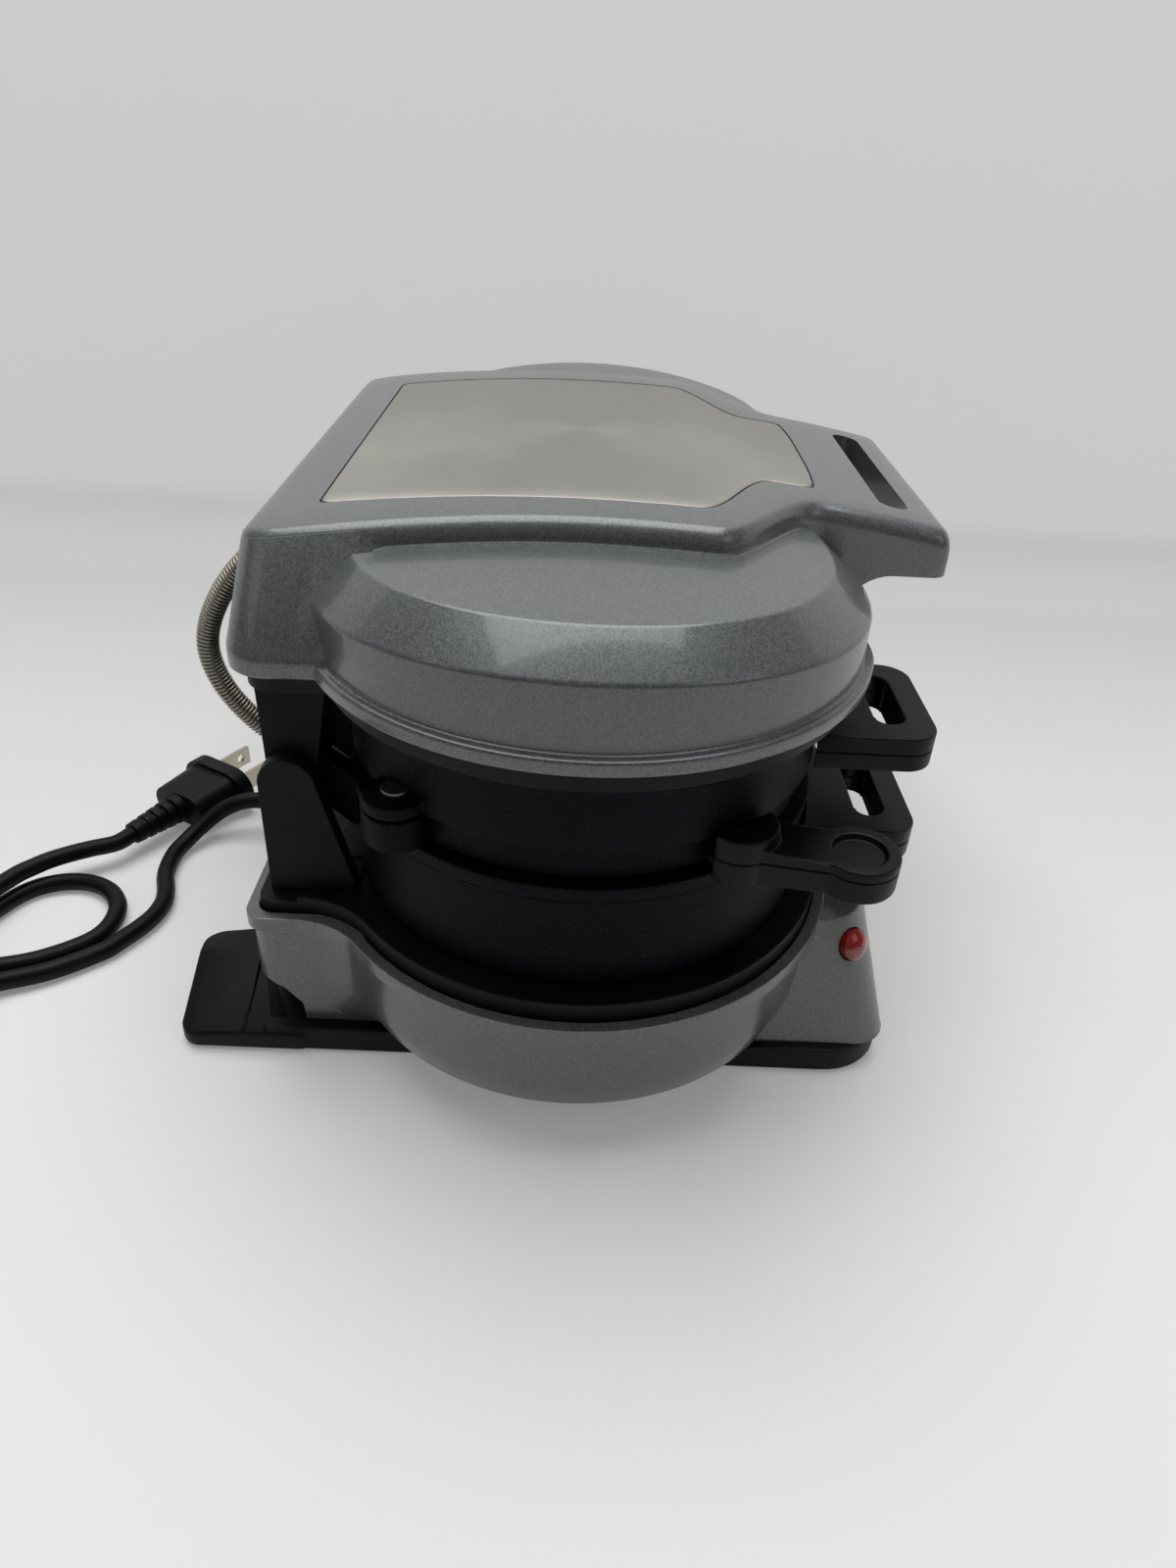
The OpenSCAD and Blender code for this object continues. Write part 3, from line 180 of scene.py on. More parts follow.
def metallic_paint():
    """Sprayed silver-grey paint with metal flakes under a thin clear coat."""
    material, tree, where = blank("silver_grey_metallic_paint")
    # The flakes are 0.05 mm in the paint; they are drawn at 0.28 mm so that they show
    cells = add(tree, "ShaderNodeTexVoronoi", out="Color", Vector=where, Scale=scale_of(0.28))
    flake = add(tree, "ShaderNodeSeparateColor", Color=cells)
    share = add(tree, "ShaderNodeMapRange", Value=flake, From_Min=0.1, From_Max=0.9)
    colour = add(tree, "ShaderNodeMix", RGBA, 2, Factor=share, i6=linear("#5f6364"), i7=linear("#7c8081"))
    gloss = add(tree, "ShaderNodeMapRange", Value=flake, To_Min=0.3, To_Max=0.44)
    peel = add(tree, "ShaderNodeTexNoise", Vector=where, Scale=scale_of(1.6))
    height = add(tree, "ShaderNodeMath", MULTIPLY_ADD, i0=flake, i1=0.25, i2=peel)
    return surfaced(material, tree, height, 0.03, 0.5, Base_Color=colour, Roughness=gloss, Metallic=0.4,
                    Coat_Weight=0.5, Coat_Roughness=0.08)


def satin_stainless():
    """Rolled stainless sheet with a short satin grain from front to rear, dulled by wiping."""
    material, tree, where = blank("satin_stainless_steel")
    stretched = add(tree, "ShaderNodeMapping", Vector=where, Scale=(1, 0.03, 1))
    grain = add(tree, "ShaderNodeTexNoise", Vector=stretched, Scale=scale_of(0.5), Detail=3)
    smudge = add(tree, "ShaderNodeTexNoise", Vector=where, Scale=scale_of(26), Detail=4, Roughness=0.6)
    wiped = add(tree, "ShaderNodeMapRange", Value=smudge, From_Min=0.3, From_Max=0.7, To_Min=0.15,
                To_Max=0.45)
    tone = add(tree, "ShaderNodeMath", MULTIPLY_ADD, i0=grain, i1=0.4, i2=wiped)
    colour = add(tree, "ShaderNodeMix", RGBA, 2, Factor=tone, i6=linear("#9d9a94"), i7=linear("#b4b1aa"))
    gloss = add(tree, "ShaderNodeMapRange", Value=smudge, From_Min=0.3, From_Max=0.7, To_Min=0.36,
                To_Max=0.42)
    return surfaced(material, tree, grain, 0.01, 0.35, Base_Color=colour, Roughness=gloss, Metallic=1.0,
                    Anisotropic=0.35)


def moulded_plastic(name, dark, light, roughness, grain_mm, depth_mm, **sockets):
    """Moulded plastic: spark-eroded grain of grain_mm, with small changes of gloss where hands rub it."""
    material, tree, where = blank(name)
    worn = add(tree, "ShaderNodeTexNoise", Vector=where, Scale=scale_of(18), Detail=3)
    grain = add(tree, "ShaderNodeTexNoise", Vector=where, Scale=scale_of(grain_mm), Roughness=0.6)
    colour = add(tree, "ShaderNodeMix", RGBA, 2, Factor=worn, i6=linear(dark), i7=linear(light))
    gloss = add(tree, "ShaderNodeMapRange", Value=worn, From_Min=0.25, From_Max=0.75,
                To_Min=roughness - 0.06, To_Max=roughness + 0.08)
    return surfaced(material, tree, grain, depth_mm, 0.6, Base_Color=colour, Roughness=gloss,
                    Specular_IOR_Level=0.18, **sockets)


def non_stick():
    """Cast aluminium under a sprayed non-stick coat: blue-black, fine blue specks, slight orange peel."""
    material, tree, where = blank("speckled_non_stick_coating")
    cells = add(tree, "ShaderNodeTexVoronoi", out="Color", Vector=where, Scale=scale_of(0.4))
    cell = add(tree, "ShaderNodeSeparateColor", Color=cells)
    specks = add(tree, "ShaderNodeMapRange", Value=cell, From_Min=0.9, From_Max=0.97)
    cloud = add(tree, "ShaderNodeTexNoise", Vector=where, Scale=scale_of(14), Detail=3)
    base = add(tree, "ShaderNodeMix", RGBA, 2, Factor=cloud, i6=linear("#07080b"), i7=linear("#0b0d12"))
    colour = add(tree, "ShaderNodeMix", RGBA, 2, Factor=specks, i6=base, i7=linear("#222a40"))
    gloss = add(tree, "ShaderNodeMapRange", Value=cloud, To_Min=0.42, To_Max=0.56)
    peel = add(tree, "ShaderNodeTexNoise", Vector=where, Scale=scale_of(0.9), Detail=3, Roughness=0.6)
    return surfaced(material, tree, peel, 0.05, 0.7, Base_Color=colour, Roughness=gloss, IOR=1.35,
                    Specular_IOR_Level=0.16)


def plated_steel(name, dark, light, roughness):
    """Plated or bare steel with fine turning marks."""
    material, tree, where = blank(name)
    marks = add(tree, "ShaderNodeTexNoise", Vector=where, Scale=scale_of(0.8), Detail=3)
    patches = add(tree, "ShaderNodeTexNoise", Vector=where, Scale=scale_of(7))
    colour = add(tree, "ShaderNodeMix", RGBA, 2, Factor=marks, i6=linear(dark), i7=linear(light))
    gloss = add(tree, "ShaderNodeMapRange", Value=patches, To_Min=roughness - 0.07, To_Max=roughness + 0.1)
    return surfaced(material, tree, marks, 0.01, 0.3, Base_Color=colour, Roughness=gloss, Metallic=1.0)


def tinted_lens(name, dark, light):
    """Clear tinted plastic over a small lamp that is off."""
    material, tree, where = blank(name)
    depth = add(tree, "ShaderNodeTexNoise", Vector=where, Scale=scale_of(3))
    ripple = add(tree, "ShaderNodeTexNoise", Vector=where, Scale=scale_of(1.2), Detail=1)
    colour = add(tree, "ShaderNodeMix", RGBA, 2, Factor=depth, i6=linear(dark), i7=linear(light))
    gloss = add(tree, "ShaderNodeMapRange", Value=depth, To_Min=0.1, To_Max=0.2)
    return surfaced(material, tree, ripple, 0.01, 0.3, Base_Color=colour, Roughness=gloss, IOR=1.49,
                    Coat_Weight=0.6, Coat_Roughness=0.05)


MATERIALS = {}


# Material of each slot: name, dark and light colour, roughness, grain size and depth in millimetres
PLASTICS = {
    "black_plastic": ("black_heat_resistant_plastic", "#0a0b0c", "#111213", 0.46, 0.45, 0.03),
    "handle_plastic": ("black_phenolic_handle", "#090a0b", "#101113", 0.38, 0.7, 0.012),
    "dark_paint": ("dark_grey_powder_coat", "#1a1b1e", "#232427", 0.6, 0.6, 0.05),
    "ceramic": ("glazed_ceramic", "#b9b2a4", "#cfc8ba", 0.4, 0.8, 0.01),
    "rubber": ("moulded_black_rubber", "#161617", "#202021", 0.8, 0.5, 0.04),
    "cord_sheath": ("flexible_pvc_sheath", "#08090a", "#0f1012", 0.42, 1.4, 0.02),
    "board": ("green_solder_resist", "#14502c", "#1b6338", 0.4, 1.0, 0.01),
    "button_plastic": ("dark_grey_key_plastic", "#2c2e31", "#36383b", 0.4, 0.6, 0.015),
}
# Material of each slot: name, dark and light colour, roughness
STEELS = {
    "bright_steel": ("zinc_plated_steel", "#8d8f90", "#a6a7a6", 0.36),
    "jacket_steel": ("wound_spring_steel", "#8f8a80", "#b3ada2", 0.3),
    "heater_sheath": ("heat_tinted_sheath", "#4e473f", "#6b5f50", 0.5),
    "blade_metal": ("nickel_plated_brass", "#b3ad9c", "#cdc6b4", 0.24),
}


def make_materials():
    """Makes each finish once, under the record's slot name."""
    MATERIALS["silver_paint"] = metallic_paint()
    MATERIALS["stainless"] = satin_stainless()
    MATERIALS["nonstick"] = non_stick()
    MATERIALS["window"] = moulded_plastic("dark_acrylic_window", "#0b1116", "#10181f", 0.14, 2.0, 0.002,
                                          Coat_Weight=0.5)
    MATERIALS["red_lens"] = tinted_lens("clear_red_lens", "#a3120f", "#c9241c")
    MATERIALS["green_lens"] = tinted_lens("clear_green_lens", "#0f5a2a", "#177a3b")
    MATERIALS.update({slot: moulded_plastic(*values) for slot, values in PLASTICS.items()})
    MATERIALS.update({slot: plated_steel(*values) for slot, values in STEELS.items()})


# ---------------- meshes


def opened(*meshes):
    """One bmesh of all the meshes."""
    bm = bmesh.new()
    for mesh in meshes:
        bm.from_mesh(mesh)
    return bm


def written(bm, mesh):
    """Writes a bmesh into a mesh."""
    bm.to_mesh(mesh)
    bm.free()
    return mesh


def linked(name, data):
    """A new object in the scene."""
    made = bpy.data.objects.new(name, data)
    bpy.context.scene.collection.objects.link(made)
    return made


def shade(mesh, angle=35):
    """Smooth shading, with the edges sharper than angle kept crisp."""
    bm = opened(mesh)
    for face in bm.faces:
        face.smooth = True
    for edge in bm.edges:
        edge.smooth = len(edge.link_faces) == 2 and edge.calc_face_angle() < math.radians(angle)
    written(bm, mesh)


def piece(name, mesh, slot, body, *nodes, angle=35):
    """Makes a mesh a piece of the object: its finish, its body and the CAD nodes that it stands for."""
    made = linked(name, mesh)
    mesh.materials.clear()
    mesh.materials.append(MATERIALS[slot])
    shade(mesh, angle)
    if body:
        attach(made, body)
    if nodes:
        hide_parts(*nodes)
    return made


def applied(source, name):
    """The evaluated mesh of an object with live modifiers, which is then removed."""
    bpy.context.view_layer.update()
    graph = bpy.context.evaluated_depsgraph_get()
    mesh = bpy.data.meshes.new_from_object(source.evaluated_get(graph))
    mesh.name = name
    bpy.data.objects.remove(source)
    return mesh


SLOTS = {part["node"]: part["material_slot"] for part in frame["record"]["subparts"]}
MERGE = 2e-6          # the CAD mesh's doubled points lie closer than this
FLAT = math.radians(0.4)


def finished(node, edge_mm=0.0, angle=35, segments=2, seam=False, joined=()):
    """A merged copy of a CAD node with softened edges, joined to closed meshes, with its real finish."""
    source = frame["nodes"][node]
    bm = opened(source.data)
    bmesh.ops.remove_doubles(bm, verts=bm.verts, dist=MERGE)
    bmesh.ops.dissolve_limit(bm, angle_limit=FLAT, verts=bm.verts, edges=bm.edges)
    mesh = written(bm, bpy.data.meshes.new(node + "_finished"))
    if edge_mm:
        shade(mesh, angle)
        rough = linked("edge_work", mesh)
        soft = rough.modifiers.new("edges", "BEVEL")
        soft.width = edge_mm * MM
        soft.segments = segments
        soft.limit_method = "ANGLE"
        soft.angle_limit = math.radians(angle)
        soft.use_clamp_overlap = False
        mesh = applied(rough, node + "_finished")
    if joined:
        written(opened(mesh, *joined), mesh)
    if seam:
        low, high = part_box(node)
        groove(mesh, (low.z + high.z) / 2)
    if edge_mm:
        mesh = flat_faced(mesh, angle)
    return piece(node + "_finished", mesh, SLOTS[node], source["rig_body"], node, angle=angle)


def flat_faced(mesh, angle):
    """Normals weighted by area, so that broad faces stay flat up to their softened edges."""
    shade(mesh, angle)
    work = linked("normal_work", mesh)
    work.modifiers.new("normals", "WEIGHTED_NORMAL").keep_sharp = True
    return applied(work, mesh.name)


def groove(mesh, height, half=0.3 * MM, depth=0.25):
    """Presses a fine parting line, depth mm deep, into the flanks of a moulding at a height."""
    bm = opened(mesh)
    for z in (height - half, height, height + half):
        bmesh.ops.bisect_plane(bm, geom=bm.verts[:] + bm.edges[:] + bm.faces[:], dist=1e-7,
                               plane_co=(0, 0, z), plane_no=(0, 0, 1))
    bm.normal_update()
    flank = [v for v in bm.verts if abs(v.co.z - height) < 1e-6 and abs(v.normal.z) < 0.3]
    for vertex, out in [(v, v.normal.copy()) for v in flank]:
        vertex.co -= Vector((out.x, out.y, 0)) * depth * MM
    written(bm, mesh)


def skin(name, rings):
    """A closed mesh over rings with the same number of points."""
    bm = bmesh.new()
    rows = [[bm.verts.new(p) for p in ring] for ring in rings]
    count = len(rings[0])
    for a, b in zip(rows, rows[1:]):
        for k in range(count):
            bm.faces.new((a[k], a[(k + 1) % count], b[(k + 1) % count], b[k]))
    bm.faces.new(rows[0][::-1])
    bm.faces.new(rows[-1])
    bmesh.ops.recalc_face_normals(bm, faces=bm.faces)
    return written(bm, bpy.data.meshes.new(name))


def turned(name, profile, centre, steps=128):
    """A solid of revolution about the vertical through centre; the profile starts and ends on the axis."""
    bm = bmesh.new()
    (_, low), (_, high) = profile[0], profile[-1]
    axis_low, axis_high = (bm.verts.new(p) for p in place([(*centre, low), (*centre, high)]))
    angles = [2 * math.pi * k / steps for k in range(steps)]
    rings = []
    for r, z in profile[1:-1]:
        circle = [(centre[0] + r * math.cos(a), centre[1] + r * math.sin(a), z) for a in angles]
        rings.append([bm.verts.new(p) for p in place(circle)])
    for k in range(steps):
        n = (k + 1) % steps
        bm.faces.new((axis_low, rings[0][n], rings[0][k]))
        bm.faces.new((axis_high, rings[-1][k], rings[-1][n]))
        for a, b in zip(rings, rings[1:]):
            bm.faces.new((a[k], a[n], b[n], b[k]))
    bmesh.ops.recalc_face_normals(bm, faces=bm.faces)
    return written(bm, bpy.data.meshes.new(name))


def rounded(profile, radii, steps=4):
    """A profile with its corners rounded to the given radii."""
    out = [profile[0]]
    for before, corner, after, radius in zip(profile, profile[1:], profile[2:], radii):
        b, c, a = (Vector(p) for p in (before, corner, after))
        if radius <= 0:
            out.append(corner)
            continue
        to_b, to_a = (b - c).normalized(), (a - c).normalized()
        half = to_b.angle(to_a) / 2
        most = 0.45
        reach = min(radius / math.tan(half), most * (b - c).length, most * (a - c).length)
        start, end = c + to_b * reach, c + to_a * reach
        for k in range(steps + 1):
            t = k / steps
            p = (1 - t) ** 2 * start + 2 * t * (1 - t) * c + t * t * end
            out.append((p.x, p.y))
    out.append(profile[-1])
    return out


def combined(name, first, joined=(), cut=()):
    """Joins and cuts closed meshes exactly."""
    base = linked("union_work", first)
    tools = []
    for operation, meshes in (("UNION", joined), ("DIFFERENCE", cut)):
        for mesh in meshes:
            tool = linked("tool", mesh)
            step = base.modifiers.new(operation, "BOOLEAN")
            step.operation = operation
            step.solver = "EXACT"
            step.object = tool
            tools.append(tool)
    mesh = applied(base, name)
    for tool in tools:
        bpy.data.objects.remove(tool)
    return mesh


def block(name, outline, low, high):
    """An upright block over a plan outline."""
    return skin(name, [place([(x, y, z) for x, y in outline]) for z in (low, high)])


# --------- cover housing


SHOULDER = (-25, -53)     # where the middle of the cover narrows to its handle
FOOT_R = 1.2              # fillet at the foot of the middle, along the discs of the lobes
FOOT_RISE = 1.15
FOOT_END = 50.5
BOW_END = 62.0            # where the flanks are widest
FRONT_WALL = -61.0        # wall under the handle
FLARE_START = 34.0        # where the sloping flank leaves the lobe
FLARE_RUN = 16.0


def s_curve(y, rear, front, wide, narrow):
    """A width that narrows in an S from wide at rear to narrow at front."""
    if y > rear:
        return wide
    if y < front:
        return narrow
    return (wide + narrow) / 2 + (wide - narrow) / 2 * math.cos(math.pi * (rear - y) / (rear - front))


def crown_top(y):
    """Height of the cover's crown."""
    return CROWN_Z - CROWN_R + math.sqrt(CROWN_R ** 2 - (y - CROWN_MID) ** 2)


def mirrored(half):
    """A closed section from its right half, given as pairs."""
    return half + [(-u, v) for u, v in reversed(half)]


def smooth_step(t):
    """From 0 to 1 as t runs from 0 to 1, level at both ends."""
    t = min(1.0, max(0.0, t))
    return t * t * (3 - 2 * t)


def fall(distance, radius):
    """How far a rounded edge has fallen at a distance in from the end."""
    return 0 if distance >= radius else radius - math.sqrt(radius ** 2 - (radius - max(distance, 0)) ** 2)


def body_rings(edge):
    """Sections of the crowned body from the tip of the handle to the rear."""
    front, rear = -HANDLE_REACH, COVER_REAR
    sections, columns = 90, 6
    ends = [edge * (1 - c) for c, _ in unit_arc(0, 90, 15)]
    middle = [front + edge + (rear - front - 2 * edge) * k / sections for k in range(1, sections)]
    rings = []
    for y in [front + e for e in ends] + middle + [rear - e for e in reversed(ends)]:
        drop = fall(min(rear - y, y - front), edge)
        half = flank_top(y) if y > 0 else s_curve(y, *SHOULDER, BODY_HALF, NECK_HALF) - drop
        top = crown_top(y) - drop
        arc = [(half - edge + edge * c, top - edge + edge * s) for c, s in unit_arc(0, 90, 15)]
        inner = [((half - edge) * (1 - k / columns), top) for k in range(1, columns)]
        foot = FOOT_R * smooth_step((FOOT_END - abs(y)) / 5)
        disc = top - DISC_DROP
        fillet = [(half + foot * (1 - s), disc + FOOT_RISE * (1 - c)) for c, s in unit_arc(0, 90, 30)]
        right = [(half, FLANGE_Z), (half + foot, disc - 1.5)] + fillet + arc + inner
        rings.append(place([(x, y, z) for x, z in mirrored(right)]))
    return rings


def bowed(y):
    """Half width of the body behind the middle, as it spreads to the rear."""
    return BODY_HALF + BOW * smooth_step(y / BOW_END)


def flank_top(y):
    """Half width of the spreading body with its rounded upright corner."""
    return bowed(y) - fall(COVER_REAR - y, CORNER_R)


def flare_rings(side):
    """Sections of the sloping flank behind a lobe, tangent to the body's rounded edge."""
    rear, low, inner = COVER_REAR, FLANGE_Z, 55
    stations = [30 + 2.5 * k for k in range(9)] + [56, BOW_END, rear - CORNER_R]
    stations += [rear - CORNER_R * (1 - s) for _, s in unit_arc(10, 90, 10)]
    lip = [(REAR_HALF - 0.5, low), (REAR_HALF, low + 0.6), (REAR_HALF, low + LIP_T),
           (REAR_HALF - 0.3, low + 4.6)]
    rings = []
    for y in stations:
        share = smooth_step((y - FLARE_START) / FLARE_RUN)
        half = flank_top(y)
        inset = bowed(y) - half
        top = crown_top(y) - fall(rear - y, 4)
        slope = [(x - inset, z) for x, z in lip] + [(half - 0.9, top - 1.4), (half - 3, top - 0.9)]
        upright = [(half - 0.5, z) for _, z in lip] + [(half - 1.5, top - 2.2), (half - 3.5, top - 1.5)]
        points = [(u + (x - u) * share, v + (z - v) * share) for (x, z), (u, v) in zip(slope, upright)]
        section = [(inner, low)] + points + [(inner, points[-1][1])]
        rings.append(place([(side * x, y, z) for x, z in section]))
    return rings


def lobe_profile():
    """Half section of a lobe of the cover with its lip, wall, bevel and flat disc."""
    wall, lip_top, top, disc = RIM_R - 2.3, FLANGE_Z + LIP_T, FLANGE_Z + 17.4, FLANGE_Z + 24.4
    profile = rounded([(0, FLANGE_Z), (RIM_R, FLANGE_Z), (RIM_R, lip_top), (wall, lip_top), (wall, top),
                       (52, disc), (46, disc)], (0.6, 1.3, 0.8, 1.6, 1.8))
    return profile + [(r, disc) for r in (40, 33, 26, 18, 10, 0)]


def crowned(mesh):
    """Lets the upper part of a lobe fall to front and rear as the crown does."""
    low, high = FLANGE_Z + 5, FLANGE_Z + 16
    for vertex in mesh.vertices:
        share = min(1.0, max(0.0, (vertex.co.z / MM - low) / (high - low)))
        vertex.co.z -= share * (CROWN_Z - crown_top(vertex.co.y / MM - LOBE_Y)) * MM
    return mesh


def plan_block(half, rear, corner, low, high, edge):
    """A block over the rear ground plan whose upper edge is rounded."""
    rings = []
    upper = [(edge * (1 - c), high - edge + edge * s) for c, s in unit_arc(30, 90, 30)]
    for inset, z in [(0.5, low), (0, low + 0.5), (0, high - edge)] + upper:
        w, r = half - inset, corner - inset
        right = [(w, 0)] + [(w - r + r * c, rear - inset - r + r * s) for c, s in unit_arc(0, 90, 10)]
        rings.append(place([(x, y, z) for x, y in mirrored(right)]))
    return rings


def panel_stations():
    """Stations of the steel panel from its nose to its rear edge, each with its half width."""
    wide, narrow, shoulder, neck = 58, 30.6, -22.6, -42
    rear, corner = 59.3, 2.5
    nose = [(-53.5, 12), (-53.2, 20), (-52.6, 27), (-51.8, 30), (-50, narrow), (-46, narrow)]
    steps = [neck + (shoulder - neck) * k / 14 for k in range(15)]
    flank = [(y, s_curve(y, shoulder, neck, wide, narrow)) for y in steps]
    sides = [(y, wide) for y in (-16, -6, 4, 14, 24, 34, 44, 52, 56)]
    end = [(rear - corner + corner * s, wide - corner + corner * c) for c, s in unit_arc(15, 90, 15)]
    return nose + flank + sides + end


def panel_rings(grow, low, high, edge):
    """Sections of the panel, grown sideways, from low to high above the crown, with a rolled upper edge."""
    middle, half_length, columns = 4.0, 57, 8
    rings = []
    for y, half in panel_stations():
        half += grow
        y = middle + (y - middle) * (1 + grow / half_length)
        top = crown_top(y) + high
        right = [(half, top - high + low), (half, top - edge), (half - edge * 0.3, top - edge * 0.3)]
        right += [((half - edge) * (1 - k / columns), top) for k in range(columns)]
        rings.append(place([(x, y, z) for x, z in mirrored(right)]))
    return rings


def finger_slot(half, depth, centre_y, low, high):
    """An upright block in the shape of the handle's slot."""
    r = depth / 2 - 0.2
    outline = []
    for cx, cy, start in ((half - r, depth / 2 - r, 0), (-half + r, depth / 2 - r, 90),
                          (-half + r, -depth / 2 + r, 180), (half - r, -depth / 2 + r, 270)):
        outline += [(cx + r * c, centre_y + cy + r * s) for c, s in unit_arc(start, start + 90, 15)]
    return block("finger_slot", outline, low, high)


def under_handle():
    """The space under the handle, as the rear of it sweeps down into the front wall."""
    low, sweep = crown_top(-HANDLE_REACH) - HANDLE_T, 11.0
    below, beyond, beside = FLANGE_Z - 10, -HANDLE_REACH - 10, 75
    arc = [(FRONT_WALL - sweep + sweep * c, low - sweep + sweep * s) for c, s in unit_arc(0, 90, 10)]
    outline = [(FRONT_WALL, below)] + arc + [(beyond, low), (beyond, below)]
    return skin("under_handle", [place([(x, y, z) for y, z in outline]) for x in (-beside, beside)])


def bushing_bore(radius=4.35, depth=12, from_rear=7):
    """The bore in the rear of the cover for the upper bushing of the conduit."""
    bore = turned("bushing", [(0, 0), (radius, 0), (radius, depth), (0, depth)], (0, 0), 32)
    origin, mouth = place([(0, 0, 0), (0, COVER_REAR - from_rear, FLANGE_Z)])
    bore.transform(Matrix.Translation(-origin))
    bore.transform(Matrix.Translation(mouth) @ Matrix.Rotation(math.radians(-90), 4, "X"))
    return bore


class SandwichCover(bpy.types.PropertyGroup):
    """Sizes of the cover"""
    edge: length_property("Edge radius", "Radius of the rounded edges of the cover", 0.004, 0.002, 0.006)
    seam: length_property("Seam", "Gap round the steel panel", 0.0005, 0.0002, 0.001)


class SANDWICH_OT_cover(bpy.types.Operator):
    """Makes the painted cover housing with its lobes, shoulder, handle and panel recess"""
    bl_idname = "sandwich.cover"
    bl_label = "Cover housing"

    def execute(self, context):
        sizes = context.scene.sandwich_cover
        lip_top = FLANGE_Z + LIP_T
        parts = [skin("flare", flare_rings(side)) for _, side in SIDES]
        parts += [crowned(turned("lobe", lobe_profile(), (side * LOBE_X, 0))) for _, side in SIDES]
        parts.append(skin("rear_lip", plan_block(REAR_HALF, COVER_REAR, CORNER_R, FLANGE_Z, lip_top, 1.3)))
        neck = [(NECK_HALF, FRONT_WALL), (NECK_HALF, -5), (-NECK_HALF, -5), (-NECK_HALF, FRONT_WALL)]
        parts.append(block("front_lip", neck, FLANGE_Z, lip_top))
        recess = skin("recess", panel_rings(sizes.seam / MM, -1.1, 5, 0.01))
        slot = finger_slot(33, 7.5, -72.25, FLANGE_Z - 5, CROWN_Z + 5)
        mesh = combined("cover_shell", skin("body", body_rings(sizes.edge / MM)), parts,
                        [under_handle(), recess, slot, bushing_bore()])
        piece("cover_shell", mesh, "silver_paint", "cover", "cover_housing", angle=28)
        return {"FINISHED"}


class SANDWICH_OT_panel(bpy.types.Operator):
    """Makes the steel panel that lies in the cover"""
    bl_idname = "sandwich.panel"
    bl_label = "Steel panel"

    def execute(self, context):
        mesh = skin("steel_panel", panel_rings(0, -0.8, 0, 0.3))
        piece("steel_panel", mesh, "stainless", "cover", "cover_panel", angle=50)
        return {"FINISHED"}


# ------------------ cord


def smooth_line(points, step):
    """Points a step apart on a smooth curve through the given points."""
    ends = [points[0] * 2 - points[1]] + points + [points[-1] * 2 - points[-2]]
    dense = []
    for a, b, c, d in zip(ends, ends[1:], ends[2:], ends[3:]):
        for k in range(12):
            t = k / 12
            dense.append(0.5 * (2 * b + (c - a) * t + (2 * a - 5 * b + 4 * c - d) * t * t
                                + (3 * b - a - 3 * c + d) * t ** 3))
    dense.append(points[-1])
    out, run = [dense[0]], 0.0
    for a, b in zip(dense, dense[1:]):
        run += (b - a).length
        if run >= step:
            out.append(b)
            run = 0.0
    if (out[-1] - dense[-1]).length < step / 2:
        out.pop()
    return out + [dense[-1]]


# The hank, in millimetres: folded runs tied at their middle, one layer on top of the other
HANK_RUN = 40.0       # half length of a run
HANK_FOLD = 16.0      # radius of the innermost fold
HANK_STEP = 6.2       # between neighbouring strands
HANK_PINCH = 13.0     # how far the tie draws the strands in
HANK_LOW = 2.7        # middle of the cord above the table
HANK_CLIMB = 5.8      # from the lower to the upper layer
HANK_TURNS = 1.75
HANK_TURN = math.radians(144)
HANK_U = Vector((math.cos(HANK_TURN), math.sin(HANK_TURN), 0))
HANK_V = Vector((math.sin(HANK_TURN), -math.cos(HANK_TURN), 0))
HANK_CENTRE = Vector((-83, 171, 0))
LEAD_START = [(0, 99.2, 12), (0, 104, 12), (-0.8, 109, 11.2), (-3, 114.4, 9), (-6.8, 119, 6.2),
              (-12, 122.6, 3.9), (-18.5, 124.7, 2.9), (-28, 124, 2.7), (-36, 121.2, 2.7), (-42.5, 120, 2.7),
              (-50, 121.4, 2.7)]
TAIL = [(-31.2, 156.3, 8.5), (-27.4, 151.7, 8.3), (-24, 146.9, 8)]
PLUG_START = Vector((-15, 138, 7.6))
PLUG_TURN = math.radians(-30)
PLUG_DIR = Vector((math.cos(PLUG_TURN), math.sin(PLUG_TURN), 0))


def waist(x):
    """Share of the tie's pinch at x along a run: 1 at its middle and 0 at its ends."""
    return math.cos(math.pi / 2 * x / HANK_RUN) ** 2


def hank_point(n):
    """Point n turns along the hank; each turn is a run, a fold, a run back and a fold."""
    f = n - math.floor(n)
    w = HANK_FOLD + HANK_STEP * (1 - n if n < 1 else 0 if n < 1.25 else n - 1.25)
    climb = 0 if n < 1 else 1 if n > 1.25 else 0.5 - 0.5 * math.cos(math.radians(720 * (n - 1)))
    if f < 0.25:
        x = -HANK_RUN + 8 * HANK_RUN * f
        y = -(w - HANK_PINCH * waist(x))
    elif f < 0.5:
        a = math.radians(720 * (f - 0.25))
        x, y = HANK_RUN + w * math.sin(a), -w * math.cos(a)
    elif f < 0.75:
        x = HANK_RUN - 8 * HANK_RUN * (f - 0.5)
        y = w - HANK_PINCH * waist(x)
    else:
        a = math.radians(720 * (f - 0.75))
        x, y = -HANK_RUN - w * math.sin(a), w * math.cos(a)
    lift = HANK_LOW + HANK_CLIMB * climb + 1.3 * waist(min(abs(x), HANK_RUN))
    return HANK_CENTRE + x * HANK_U + y * HANK_V + Vector((0, 0, lift))


